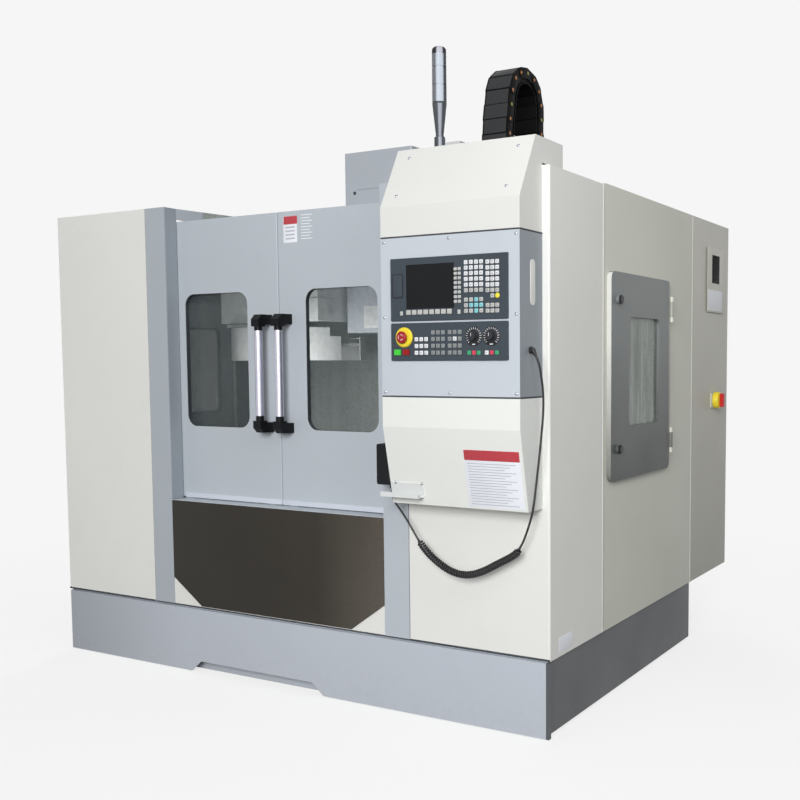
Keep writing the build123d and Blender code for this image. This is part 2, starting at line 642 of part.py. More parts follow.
def make_electrical_cabinet():
    """Box open at the back, its right wall carried forward to the middle panel."""
    z = (PANEL_BOTTOM, SIDE_TOP)
    box = block((CABINET_LEFT, HALF), (CABINET_FRONT, GUARD_DEPTH), z)
    box -= block(
        (CABINET_LEFT + CABINET_SHEET, HALF - SHEET), (CABINET_FRONT + CABINET_SHEET, GUARD_DEPTH + 1),
        (z[0] + CABINET_SHEET, z[1] - CABINET_SHEET),
    )
    box += block((HALF - SHEET, HALF), (MIDDLE_PANEL_END, CABINET_FRONT + 1), z)
    lip = block(
        (CABINET_LEFT, HALF), (GUARD_DEPTH - CABINET_SHEET, GUARD_DEPTH), z
    ) - block(
        (CABINET_LEFT + 30, HALF - 30), (GUARD_DEPTH - 10, GUARD_DEPTH + 10), (z[0] + 40, z[1] - 40)
    )
    box += lip
    for bar_z in (900, 1500):
        box += block(
            (SPINDLE_X - 90, SPINDLE_X + 90), (COLUMN_REAR, CABINET_FRONT + 1), (bar_z, bar_z + 60)
        )
    entry = (HALF - 200, 1700, PANEL_BOTTOM)
    entry_ring = rod(entry, (0, 0, 1), CABLE_ENTRY_RADIUS + 8, CABLE_ENTRY_LENGTH)
    box -= entry_ring
    entry_ring -= rod(
        (entry[0], entry[1], entry[2] - 1), (0, 0, 1), CABLE_ENTRY_RADIUS, CABLE_ENTRY_LENGTH + 2,
    )
    frame_face = rounded((GRILLE_FRONT, GRILLE_BOTTOM), (GRILLE_REAR, GRILLE_TOP), 8)
    box += side_plate(frame_face, HALF, 4)
    louvres = []
    grille = (GRILLE_FRONT + 44, GRILLE_REAR - 62, GRILLE_BOTTOM + 133, GRILLE_TOP - 20)
    count = 8
    pitch = (grille[3] - grille[2]) / count
    for i in range(count):
        z0 = grille[2] + i * pitch
        louvres.append(block((HALF + 1, HALF + 5), (grille[0], grille[1]), (z0, z0 + pitch * 0.45)))
    for slot in louvres:
        box -= slot
    box += side_plate(
        rounded((ISOLATOR_Y - ISOLATOR_PLATE[0] / 2, ISOLATOR_Z - ISOLATOR_PLATE[1] / 2),
                (ISOLATOR_Y + ISOLATOR_PLATE[0] / 2, ISOLATOR_Z + ISOLATOR_PLATE[1] / 2), 6), HALF, 6
    )
    return [box, entry_ring]


def make_cabinet_drives():
    """Mounting plate with drive modules, contactors and a row of terminals."""
    plate_y = CABINET_FRONT + CABINET_SHEET + 20
    solids = [block((CABINET_LEFT + 60, HALF - 120), (plate_y, plate_y + 3), (420, 1680))]
    for x in (CABINET_LEFT + 60, HALF - 150):
        solids.append(block((x, x + 30), (CABINET_FRONT + CABINET_SHEET, plate_y), (420, 1680)))
    for i in range(4):
        x = CABINET_LEFT + 110 + i * 150
        solids.append(block((x, x + 110), (plate_y + 3, plate_y + 170), (1180, 1520)))
    for i in range(7):
        x = CABINET_LEFT + 110 + i * 62
        solids.append(block((x, x + 45), (plate_y + 3, plate_y + 90), (900, 990)))
    solids.append(block((CABINET_LEFT + 110, HALF - 200), (plate_y + 3, plate_y + 48), (700, 760)))
    solids.append(block((HALF - 500, HALF - 200), (plate_y + 3, plate_y + 150), (880, 1120)))
    return solids


def make_cabinet_door():
    """Rear door of the cabinet, a pan hung on its left edge, with a swing handle."""
    x0, x1 = CABINET_LEFT + 14, HALF - 14
    z0, z1 = PANEL_BOTTOM + 20, SIDE_TOP - 20
    y0 = GUARD_DEPTH + 0.5
    door = block((x0, x1), (y0, y0 + CABINET_DOOR_THICK), (z0, z1))
    door -= block((x0 + 2, x1 - 2), (y0 - 1, y0 + CABINET_DOOR_THICK - 2), (z0 + 2, z1 - 2))
    hinge_y = y0 + 6
    for z in (z0 + 150, z1 - 150):
        door += rod((x0 - 7.5, hinge_y, z - 30), (0, 0, 1), 5.4, 60)
        door += block((x0 - 7.5, x0 + 1), (hinge_y + 1, hinge_y + 5.4), (z - 30, z + 30))
        door -= rod((x0 - 7.5, hinge_y, z - 31), (0, 0, 1), 3.1, 62)
    return door


def cabinet_hinges():
    """Pins of the cabinet door, on the cabinet's left flange."""
    y0 = GUARD_DEPTH + 0.5
    x = CABINET_LEFT + 6.5
    hinge_y = y0 + 6
    pins = []
    for z in (PANEL_BOTTOM + 170, SIDE_TOP - 170):
        pin = rod((x, hinge_y, z - 45), (0, 0, 1), 3, 90)
        for end in (z - 45, z + 30.3):
            pin += rod((x, hinge_y, end), (0, 0, 1), 5.4, 14.7)
            pin += block((x - 5.4, x + 5.4), (GUARD_DEPTH, hinge_y), (end, end + 14.7))
        pins.append(pin)
    return pins


def make_isolator_handle():
    """Rotary mains switch: a round skirt and a grip bar across it."""
    face = HALF + 6 + 0.3
    knob = rod((face, ISOLATOR_Y, ISOLATOR_Z), (1, 0, 0), 26, 12)
    grip = block(
        (face + 11, HALF + ISOLATOR_PROUD), (ISOLATOR_Y - 8, ISOLATOR_Y + 8),
        (ISOLATOR_Z - 30, ISOLATOR_Z + 30),
    )
    return knob + grip


# Operator's station


def make_control_box():
    """Box for the operator units, closed at the front, with openings behind both units."""
    box = block((STATION_LEFT, STATION_RIGHT), (-STATION_PROUD, 0), (BOX_BOTTOM, BOX_TOP))
    box -= block(
        (STATION_LEFT + STATION_SHEET, STATION_RIGHT - STATION_SHEET), (-STATION_PROUD + STATION_SHEET, 1),
        (BOX_BOTTOM + STATION_SHEET, BOX_TOP - STATION_SHEET),
    )
    for z0, height in ((UNIT_BOTTOM, UNIT_HEIGHT), (PANEL_UNIT_BOTTOM, PANEL_UNIT_HEIGHT)):
        box -= block(
            (UNIT_LEFT + 12, UNIT_LEFT + UNIT_WIDTH - 12), (
                -STATION_PROUD - 1, -STATION_PROUD + STATION_SHEET + 1,
            ),
            (z0 + 10, z0 + height - 10),
        )
    return box


def make_control_hood():
    """Sloping hood over the control box, carried back over the front cover's lid."""
    points = [
        (0, BOX_TOP), (-STATION_PROUD, BOX_TOP), (-STATION_PROUD, HOOD_BREAK), (HOOD_TOP_FRONT, HOOD_TOP),
        (HOOD_TOP_REAR, HOOD_TOP), (HOOD_TOP_REAR, SIDE_TOP + 1), (0, SIDE_TOP + 1),
    ]
    t = STATION_SHEET
    hollow = [
        (1, BOX_TOP - 1), (-STATION_PROUD + t, BOX_TOP - 1), (-STATION_PROUD + t, HOOD_BREAK - 1),
        (HOOD_TOP_FRONT + 1.5, HOOD_TOP - t), (HOOD_TOP_REAR - t, HOOD_TOP - t), (
            HOOD_TOP_REAR - t, SIDE_TOP,
        ),
        (1, SIDE_TOP),
    ]
    hood = side_plate(outline(*points), STATION_LEFT, STATION_RIGHT - STATION_LEFT)
    hood -= side_plate(outline(*hollow), STATION_LEFT + t, STATION_RIGHT - STATION_LEFT - 2 * t)
    return hood


def make_control_lower_box():
    """Tapered housing under the control box, closed below, open to the back."""
    points = [
        (0, BOX_BOTTOM), (-STATION_PROUD, BOX_BOTTOM), (-STATION_PROUD, LOWER_BREAK),
        (LOWER_BOTTOM_FRONT, LOWER_BOTTOM), (0, LOWER_BOTTOM),
    ]
    t = STATION_SHEET
    hollow = [
        (1, BOX_BOTTOM - t), (-STATION_PROUD + t, BOX_BOTTOM - t), (-STATION_PROUD + t, LOWER_BREAK),
        (LOWER_BOTTOM_FRONT + t, LOWER_BOTTOM + t), (1, LOWER_BOTTOM + t),
    ]
    box = side_plate(outline(*points), STATION_LEFT, STATION_RIGHT - STATION_LEFT)
    box -= side_plate(outline(*hollow), STATION_LEFT + t, STATION_RIGHT - STATION_LEFT - 2 * t)
    return box


def keys(columns, rows, size, proud=KEY_PROUD):
    """Raised keys centred where the columns and rows cross."""
    face = -STATION_PROUD - UNIT_PROUD
    half_x, half_z = size[0] / 2, size[1] / 2
    return [
        block((x - half_x, x + half_x), (face - proud, face), (z - half_z, z + half_z))
        for x in columns
        for z in rows
    ]


def unit_plate(z, height):
    """Bezel on the control box with rounded corners, and its housing inside the box."""
    face = rounded((UNIT_LEFT, z), (UNIT_LEFT + UNIT_WIDTH, z + height), 4)
    plate = front_plate(face, -STATION_PROUD - UNIT_PROUD, UNIT_PROUD)
    plate = chamfer(plate.edges().group_by(Axis.Y)[0], 1.2)
    rear = block(
        (UNIT_LEFT + 14, UNIT_LEFT + UNIT_WIDTH - 14), (-STATION_PROUD, -STATION_PROUD + 75), (
            z + 12, z + height - 12,
        )
    )
    return plate + rear


def make_operator_unit():
    """Display and keyboard unit with a recess for the screen, a card slot cover and its raised keys."""
    unit = unit_plate(UNIT_BOTTOM, UNIT_HEIGHT)
    face = -STATION_PROUD - UNIT_PROUD
    screen_x = (SCREEN_LEFT - 6, SCREEN_LEFT + SCREEN_SIZE[0] + 6)
    screen_z = (SCREEN_BOTTOM - 4, SCREEN_BOTTOM + SCREEN_SIZE[1] + 6)
    unit -= block(screen_x, (face - 1, face + 3), screen_z)
    for inset, y in ((0, (face - 1, face + 1)), (1.5, (face - 1, face + 0.4))):
        (x0, x1), (z0, z1) = SLOT_COVER
        frame = block((x0 - inset, x1 + inset), y, (z0 - inset, z1 + inset))
        unit -= frame - block((x0 + 1.2, x1 - 1.2), (face - 2, face + 2), (z0 + 1.2, z1 - 1.2))
    raised = keys(*LETTER_KEYS, (13.5, 12.5))
    raised += keys(*NUMBER_KEYS, (13.5, 12.5))
    raised += keys(*ARROW_KEYS, (13.5, 12.5))
    raised += keys(*EDIT_KEYS, (13.5, 12.5))
    raised += keys(*SIDE_KEYS, (11.5, 9.5))
    raised += keys((1020.0, 1037.5), (1402.0,), (13.5, 13.5))
    raised += keys(SOFT_KEYS, (SOFT_KEY_Z,), (17.5, 15.0))
    raised += keys((688.7, 902.0), (1356.5,), (11.0, 13.5))
    for key in raised:
        unit += key
    return unit


def make_machine_panel():
    """Machine control panel with its raised keys and the seats of the buttons and dials."""
    unit = unit_plate(PANEL_UNIT_BOTTOM, PANEL_UNIT_HEIGHT)
    raised = keys(*PANEL_KEYS_LEFT, (13.5, 13.0))
    raised += keys(*PANEL_KEYS_MIDDLE, (13.5, 13.0))
    raised += keys(*PANEL_KEYS_RIGHT, (13.5, 13.0))
    raised += keys(OVERRIDE_KEYS, (OVERRIDE_KEY_Z,), (14.0, 13.5))
    for key in raised:
        unit += key
    face = -STATION_PROUD - UNIT_PROUD
    for x in (FEED_DIAL_X, SPINDLE_DIAL_X):
        unit += rod((x, face - 0.8, DIAL_Z), (0, 1, 0), DIAL_PLATE_RADIUS, 1.2)
    for x, z, radius in ((ESTOP_X, ESTOP_Z, 11), (FEED_DIAL_X, DIAL_Z, 4), (SPINDLE_DIAL_X, DIAL_Z, 4)):
        unit -= rod((x, face - 2, z), (0, 1, 0), radius + RUNNING_GAP, 32)
    for x in (START_X, STOP_X):
        half_x, half_z = BUTTON_SIZE[0] / 2 + RUNNING_GAP, BUTTON_SIZE[1] / 2 + RUNNING_GAP
        unit -= block(
            (x - half_x, x + half_x), (face - 1, face + 20), (BUTTON_Z - half_z, BUTTON_Z + half_z),
        )
    return unit


def make_display_glass():
    x = (SCREEN_LEFT - 5.9, SCREEN_LEFT + SCREEN_SIZE[0] + 5.9)
    z = (SCREEN_BOTTOM - 3.9, SCREEN_BOTTOM + SCREEN_SIZE[1] + 5.9)
    face = -STATION_PROUD - UNIT_PROUD
    return block(x, (face + 1, face + 3), z)


def make_estop_collar():
    face = -STATION_PROUD - UNIT_PROUD
    collar = rod(
        (ESTOP_X, face - ESTOP_COLLAR_THICK, ESTOP_Z), (0, 1, 0), ESTOP_COLLAR_RADIUS,
        ESTOP_COLLAR_THICK,
    )
    collar = chamfer(collar.edges().group_by(Axis.Y)[0], 4)
    return collar - rod((ESTOP_X, face - 20, ESTOP_Z), (0, 1, 0), 12.5, 30)


def make_estop_button():
    """Mushroom head on a stem that runs into the panel."""
    face = -STATION_PROUD - UNIT_PROUD
    stem = rod((ESTOP_X, face - 20, ESTOP_Z), (0, 1, 0), 11, 42)
    head = rod((ESTOP_X, face - ESTOP_PROUD, ESTOP_Z), (0, 1, 0), 19.5, ESTOP_PROUD - 14)
    head = fillet(head.edges().filter_by(GeomType.CIRCLE).group_by(Axis.Y)[0], ESTOP_EDGE)
    head = chamfer(head.edges().group_by(Axis.Y)[-1], 3)
    return stem + head


def push_button(x):
    face = -STATION_PROUD - UNIT_PROUD
    half_x, half_z = BUTTON_SIZE[0] / 2, BUTTON_SIZE[1] / 2
    cap = block((x - half_x, x + half_x), (face - 5, face + 15), (BUTTON_Z - half_z, BUTTON_Z + half_z))
    return chamfer(cap.edges().group_by(Axis.Y)[0], 1)


def override_dial(x):
    """Fluted knob with a skirt, on a spindle that runs into the panel."""
    face = -STATION_PROUD - UNIT_PROUD
    knob = rod((x, face - 18, DIAL_Z), (0, 1, 0), DIAL_RADIUS, 17)
    knob = chamfer(knob.edges().group_by(Axis.Y)[0], 1.5)
    flutes = 12
    for i in range(flutes):
        angle = 2 * math.pi * i / flutes
        offset = (DIAL_RADIUS + 1.2) * math.cos(angle), (DIAL_RADIUS + 1.2) * math.sin(angle)
        knob -= rod((x + offset[0], face - 19, DIAL_Z + offset[1]), (0, 1, 0), 2.2, 14)
    knob += rod((x, face - 4, DIAL_Z), (0, 1, 0), DIAL_RADIUS + 1.5, 2.9)
    knob += rod((x, face - 2, DIAL_Z), (0, 1, 0), 4, 29)
    return knob


def make_pendant_tray():
    """Bent white bracket screwed to the lower box's sloping face, with a scalloped shelf."""
    slope_y = (LOWER_BOTTOM_FRONT + STATION_PROUD) / (LOWER_BREAK - LOWER_BOTTOM)
    y_low = LOWER_BOTTOM_FRONT - slope_y * (768 - LOWER_BOTTOM)
    y_high = LOWER_BOTTOM_FRONT - slope_y * (812 - LOWER_BOTTOM)
    profile = outline((y_low - 2, 768), (y_high - 2, 812), (y_high, 812), (y_low, 768))
    back = side_plate(profile, STATION_LEFT + 2, 124)
    shelf = flat_plate(
        outline(
            (584, y_low - 34), (732, y_low - 34), (732, y_low - 1), (606, y_low - 1), (606, y_low + 2),
            (584, y_low + 2),
        ),
        766, 2,
    )
    lip = block((584, 732), (y_low - 36, y_low - 34), (766, 782))
    return back + shelf + lip


def make_pendant_body():
    """Handwheel pendant hanging on the left wall of the lower box."""
    body = block(PENDANT_X, PENDANT_Y, PENDANT_Z)
    body = fillet(body.edges(), 7)
    hook = block((PENDANT_X[1] - 8, STATION_LEFT), (-85, -55), (860, 900))
    seat = rod((PENDANT_X[0] + 8, -70, 895), (-1, 0, 0), 4 + RUNNING_GAP, 10)
    relief = rod((576, CORD_Y, PENDANT_Z[0] - 16), (0, 0, 1), 6, 20)
    return body + hook + relief - seat


def make_pendant_dial():
    wheel = rod((PENDANT_X[0] - 0.4, -70, 895), (-1, 0, 0), PENDANT_DIAL_RADIUS, 9)
    wheel = chamfer(wheel.edges().group_by(Axis.X)[0], 2)
    wheel += rod((PENDANT_X[0] - 9, -70 + 14, 895), (-1, 0, 0), 5, 12)
    wheel += rod((PENDANT_X[0] + 6, -70, 895), (-1, 0, 0), 4, 8)
    return wheel


# Cord of the pendant
UPPER_ROUTE = [
    (1129, GLAND_Y, 1222.41),
    (1139, GLAND_Y, 1205.09),
    (1142, -72, 1164),
    (1145, -64, 1112),
    (1143.5, CORD_Y, 1062),
    (1140.5, CORD_Y, 1018),
    (1136, CORD_Y, 975),
    (1130.5, CORD_Y, 923),
    (1127, -66, 871),
    (1122, -72, 808),
    (1117.5, -80, 744),
    (1092, -68, 682),
    (1071, CORD_Y, 640),
    (1060, CORD_Y, 622),
]
CURL_ROUTE = [
    (1060, CORD_Y, 622),
    (1049, CORD_Y, 604),
    (1020, CORD_Y, 586),
    (980, CORD_Y, 565),
    (925, CORD_Y, 534),
    (867, CORD_Y, 516),
    (808, CORD_Y, 522),
    (752, CORD_Y, 551),
    (714, CORD_Y, 580),
    (690, CORD_Y, 606),
    (681, CORD_Y, 617),
]
LOWER_ROUTE = [
    (681, CORD_Y, 617),
    (672, CORD_Y, 628),
    (640, CORD_Y, 675),
    (613, CORD_Y, 709),
    (590, CORD_Y, 733),
    (576, CORD_Y, 760),
    (576, CORD_Y, PENDANT_Z[0] - 16),
]


def routed_tube(points, radius, name):
    """Round tube along straight runs with arcs as large as each corner allows."""
    runs = [Vector(*b) - Vector(*a) for a, b in zip(points, points[1:])]
    radii = []
    for before, after in zip(runs, runs[1:]):
        turn = math.radians(before.get_angle(after))
        shorter = min(before.length, after.length)
        radii.append(0.45 * shorter / math.tan(turn / 2))
    print(name, "bend radii", [round(r) for r in radii])
    path = FilletPolyline(*points, radius=radii)
    start = Plane(origin=points[0], z_dir=runs[0])
    tube = sweep(start * Circle(radius), path=path)
    print(
        name, "length", round(path.length, 1), "volume ratio",
        round(tube.volume / (math.pi * radius**2 * path.length), 5),
    )
    return tube


def make_cord_gland():
    """Hexagon nut on the box's right wall, with a strain relief that leans down."""
    nut = Plane(origin=(STATION_RIGHT, GLAND_Y, GLAND_Z), z_dir=(1, 0, 0)) * extrude(
        RegularPolygon(GLAND_RADIUS, 6), amount=GLAND_NUT
    )
    end = Vector(*UPPER_ROUTE[0])
    lean = (Vector(*UPPER_ROUTE[1]) - end).normalized()
    start = end - lean * RELIEF_LENGTH
    relief = Plane(origin=start, z_dir=lean) * Cone(
        8.5, CORD_RADIUS + 1.5, RELIEF_LENGTH, align=(Align.CENTER, Align.CENTER, Align.MIN)
    )
    knee = Pos(start.X, start.Y, start.Z) * Sphere(8.5)
    wall = block(
        (STATION_RIGHT - 30, STATION_RIGHT), (GLAND_Y - 30, GLAND_Y + 30), (GLAND_Z - 30, GLAND_Z + 30),
    )
    return nut + relief + knee - wall


# Signal lamp


def make_signal_lamp_mount():
    """Foot, collar and cone below the lamp tube."""
    profile = outline(
        (0, HOOD_TOP), (30, HOOD_TOP), (30, HOOD_TOP + 5), (LAMP_COLLAR_RADIUS, HOOD_TOP + 8),
        (LAMP_COLLAR_RADIUS, LAMP_CONE_BOTTOM - 12), (LAMP_COLLAR_RADIUS - 5, LAMP_CONE_BOTTOM - 6),
        (LAMP_COLLAR_RADIUS - 5, LAMP_CONE_BOTTOM), (LAMP_RADIUS, LAMP_TUBE_BOTTOM - 4), (
            LAMP_RADIUS, LAMP_TUBE_BOTTOM,
        ),
        (0, LAMP_TUBE_BOTTOM),
    )
    return Pos(LAMP_X, LAMP_Y, 0) * revolve(Plane.XZ * profile, axis=Axis.Z)


def make_signal_lamp_tube():
    """Lens stack with two dividing rings and a domed cap."""
    tube = rod((LAMP_X, LAMP_Y, LAMP_TUBE_BOTTOM), (0, 0, 1), LAMP_RADIUS, LAMP_TOP - LAMP_TUBE_BOTTOM)
    tube = fillet(tube.edges().filter_by(GeomType.CIRCLE).group_by(Axis.Z)[-1], 12)
    for z in (LAMP_TUBE_BOTTOM + 56, LAMP_TUBE_BOTTOM + 114):
        ring = rod((LAMP_X, LAMP_Y, z), (0, 0, 1), LAMP_RADIUS + 1, 4)
        tube -= ring - rod((LAMP_X, LAMP_Y, z - 1), (0, 0, 1), LAMP_RADIUS - 1.5, 6)
    return tube


# Machine inside the guard


def make_bed():
    """Cast bed: ways on top, a trough for the screw, cored side windows and levelling lugs."""
    x0, x1 = SPINDLE_X - BED_HALF_WIDTH, SPINDLE_X + BED_HALF_WIDTH
    depth = (BED_FRONT, COLUMN_REAR + 25)
    bed = block((x0, x1), depth, (BED_BOTTOM, BED_TOP))
    trough = (SPINDLE_X - 100, SPINDLE_X + 100)
    bed -= block(trough, (BED_FRONT - 1, COLUMN_FACE - 40), (BED_TOP - 110, BED_TOP + 1))
    for x in (x0 - 1, x1 - 89):
        for y in (BED_FRONT + 160, BED_FRONT + 570, BED_FRONT + 980):
            core = rounded((y, 180), (y + 250, 420), 40)
            bed -= side_plate(core, x, 90)
    for y in (BED_FRONT + 60, BED_FRONT + 620, COLUMN_REAR - 20):
        for x in (x0 - 70, x1 - 30):
            bed += block((x, x + 100), (y - 55, y + 55), (BED_BOTTOM, BED_BOTTOM + 50))
    return bed


def foot_places():
    x0, x1 = SPINDLE_X - BED_HALF_WIDTH, SPINDLE_X + BED_HALF_WIDTH
    return [(x, y) for y in (BED_FRONT + 60, BED_FRONT + 620, COLUMN_REAR - 20) for x in (x0 - 20, x1 + 20)]


def make_levelling_feet():
    """Six round pads with studs, under the bed's lugs."""
    feet = []
    for x, y in foot_places():
        foot = rod((x, y, 0), (0, 0, 1), FOOT_RADIUS, 22)
        foot = chamfer(foot.edges().group_by(Axis.Z)[-1], 8)
        foot += rod((x, y, 20), (0, 0, 1), FOOT_STUD_RADIUS, BED_BOTTOM - 20)
        feet.append(foot)
    return feet


def make_column():
    """Cast column on a wide foot, with a channel for the screw between the rail seats."""
    x0, x1 = SPINDLE_X - COLUMN_HALF_WIDTH, SPINDLE_X + COLUMN_HALF_WIDTH
    foot = block(
        (SPINDLE_X - 300, SPINDLE_X + 300), (COLUMN_FACE - 30, COLUMN_REAR + 20),
        (BED_TOP, BED_TOP + 50),
    )
    side = outline(
        (COLUMN_FACE, BED_TOP + 50), (COLUMN_REAR, BED_TOP + 50), (COLUMN_REAR, 1700), (
            COLUMN_REAR - 50, COLUMN_TOP,
        ),
        (COLUMN_FACE, COLUMN_TOP),
    )
    shaft = side_plate(side, x0, 2 * COLUMN_HALF_WIDTH)
    shaft = fillet(shaft.edges().filter_by(Axis.Z).group_by(Axis.Y)[-1], 30)
    shaft -= block(
        (SPINDLE_X - 70, SPINDLE_X + 70), (COLUMN_FACE - 1, COLUMN_FACE + 80),
        (BED_TOP + 120, COLUMN_TOP + 1),
    )
    shelf_z = (CHAIN_FIXED_END - 24, CHAIN_FIXED_END)
    shelf = block(
        (SPINDLE_X + COLUMN_HALF_WIDTH, CHAIN_X[1]), (CHAIN_REAR - CHAIN_THICK, CHAIN_REAR), shelf_z,
    )
    return foot + shaft + shelf


def make_linear_rails():
    """Two rails along the bed and two up the column."""
    rails = []
    half = RAIL_WIDTH / 2
    for offset in (-Y_RAIL_OFFSET, Y_RAIL_OFFSET):
        x = SPINDLE_X + offset
        rail_y = (BED_FRONT + 40, COLUMN_FACE - 40)
        rails.append(block((x - half, x + half), rail_y, (BED_TOP, BED_TOP + RAIL_TALL)))
    for offset in (-Z_RAIL_OFFSET, Z_RAIL_OFFSET):
        x = SPINDLE_X + offset
        rails.append(
            block(
                (x - RAIL_WIDTH / 2, x + RAIL_WIDTH / 2), (COLUMN_FACE - RAIL_TALL, COLUMN_FACE),
                (880, COLUMN_TOP - 20),
            )
        )
    return rails


def servo_motor(flange, direction, size, length):
    """Square motor with a flange at its drive end; direction points away from the screw."""
    base = Plane(origin=flange, z_dir=direction)
    body = base * extrude(RectangleRounded(size, size, size * 0.12), amount=length)
    cap = base * (Pos(0, 0, length) * extrude(RectangleRounded(size * 0.8, size * 0.8, 8), amount=45))
    return body + cap


Y_SCREW_Z = BED_TOP - 68
Z_SCREW_Y = COLUMN_FACE + 38
X_SCREW_Z = SADDLE_TOP + 26


def bearing_block(x, y, z, bore_at, direction):
    """Pillow block between limits, bored for a screw journal."""
    body = block(x, y, z)
    start = Vector(*bore_at) - Vector(*direction) * 200
    return body - rod(tuple(start), direction, SCREW_JOURNAL_RADIUS + RUNNING_GAP, 400)


def make_drive_motors():
    """Motors and bearing blocks of the Y and Z screws."""
    solids = []
    trough = (SPINDLE_X - 60, SPINDLE_X + 60)
    for y in (BED_FRONT + 40, COLUMN_FACE - 90):
        solids.append(
            bearing_block(
                trough, (y, y + 40), (BED_TOP - 110, BED_TOP - 8), (SPINDLE_X, y, Y_SCREW_Z), (0, 1, 0),
            )
        )
    plate = block((SPINDLE_X - 110, SPINDLE_X + 110), (BED_FRONT - 12, BED_FRONT), (Y_SCREW_Z - 55, 498))
    plate -= rod((SPINDLE_X, BED_FRONT + 1, Y_SCREW_Z), (0, -1, 0), 16, 14)
    solids.append(plate)
    solids.append(servo_motor((SPINDLE_X, BED_FRONT - 12, Y_SCREW_Z), (0, -1, 0), 86, 96))
    for z in (900, COLUMN_TOP - 60):
        solids.append(
            bearing_block(
                (SPINDLE_X - 50, SPINDLE_X + 50), (COLUMN_FACE + 2, COLUMN_FACE + 80), (z, z + 40),
                (SPINDLE_X, Z_SCREW_Y, z), (0, 0, 1),
            )
        )
    stool = block(
        (SPINDLE_X - 80, SPINDLE_X + 80), (COLUMN_FACE, COLUMN_FACE + 150),
        (COLUMN_TOP, COLUMN_TOP + 12),
    )
    stool -= rod((SPINDLE_X, Z_SCREW_Y, COLUMN_TOP - 10), (0, 0, 1), 20, 40)
    solids.append(stool)
    solids.append(servo_motor((SPINDLE_X, COLUMN_FACE + 75, COLUMN_TOP + 12), (0, 0, 1), 110, 105))
    return solids


def screw(start, direction, length, journal):
    """Screw turned down to journals at both ends."""
    shaft = rod(start, direction, SCREW_JOURNAL_RADIUS, length)
    inner = Vector(*start) + Vector(*direction) * journal
    return shaft + rod(tuple(inner), direction, SCREW_RADIUS, length - 2 * journal)


def make_y_screw():
    return screw((SPINDLE_X, BED_FRONT + 42, Y_SCREW_Z), (0, 1, 0), COLUMN_FACE - 52 - BED_FRONT - 42, 42)


def make_z_screw():
    return screw((SPINDLE_X, Z_SCREW_Y, 902), (0, 0, 1), COLUMN_TOP - 22 - 902, 42)


def make_x_screw():
    half = SADDLE_HALF_LENGTH
    return screw((SPINDLE_X - half + 2, SPINDLE_Y, X_SCREW_Z), (1, 0, 0), 2 * half - 4, 24)


def carriage(centre, along, across, up, length):
    """Block that hugs a rail: a U in section, its mouth towards the rail's seat."""
    half_l = length / 2
    along, across, up = Vector(*along), Vector(*across), Vector(*up)
    plane = Plane(origin=Vector(*centre) - along * half_l, x_dir=across, z_dir=along)
    flip = 1 if plane.y_dir.dot(up) > 0 else -1
    body = Pos(0, flip * (3 + 25)) * Rectangle(70, 50 - 6 + 6)
    slot_tall = RAIL_TALL + RUNNING_GAP
    slot = Pos(0, flip * (slot_tall / 2)) * Rectangle(RAIL_WIDTH + 2 * RUNNING_GAP, slot_tall + 0.001)
    return plane * extrude(body - slot, amount=length)


def make_saddle():
    """Cross saddle: carriages on the bed rails, X rails on top, the screw's nut below, X motor."""
    x0, x1 = SPINDLE_X - SADDLE_HALF_LENGTH, SPINDLE_X + SADDLE_HALF_LENGTH
    y0, y1 = SPINDLE_Y - SADDLE_WIDTH / 2, SPINDLE_Y + SADDLE_WIDTH / 2
    saddle = block((x0, x1), (y0, y1), (SADDLE_BOTTOM, SADDLE_TOP))
    saddle = chamfer(saddle.edges().filter_by(Axis.Y).group_by(Axis.Z)[0], 40)
    for offset in (-Y_RAIL_OFFSET, Y_RAIL_OFFSET):
        for y in (y0 + 60, y1 - 60):
            saddle += carriage((SPINDLE_X + offset, y, BED_TOP), (0, 1, 0), (1, 0, 0), (0, 0, 1), 110)
    nut = block(
        (SPINDLE_X - 45, SPINDLE_X + 45), (SPINDLE_Y - 50, SPINDLE_Y + 50),
        (Y_SCREW_Z - 32, SADDLE_BOTTOM),
    )
    nut -= rod((SPINDLE_X, SPINDLE_Y - 60, Y_SCREW_Z), (0, 1, 0), SCREW_RADIUS + RUNNING_GAP, 120)
    saddle += nut
    ends = []
    for x in (x0, x1 - 20):
        ends.append(
            bearing_block(
                (x, x + 20), (SPINDLE_Y - 35, SPINDLE_Y + 35), (SADDLE_TOP, X_SCREW_Z + 24),
                (x, SPINDLE_Y, X_SCREW_Z), (1, 0, 0),
            )
        )
    rails = []
    for offset in (-X_RAIL_OFFSET, X_RAIL_OFFSET):
        rail_y = (SPINDLE_Y + offset - RAIL_WIDTH / 2, SPINDLE_Y + offset + RAIL_WIDTH / 2)
        rails.append(block((x0 + 10, x1 - 10), rail_y, (SADDLE_TOP, SADDLE_TOP + RAIL_TALL)))
    motor = servo_motor((x1, SPINDLE_Y, X_SCREW_Z), (1, 0, 0), 84, 100)
    return [saddle, *ends, *rails, motor]


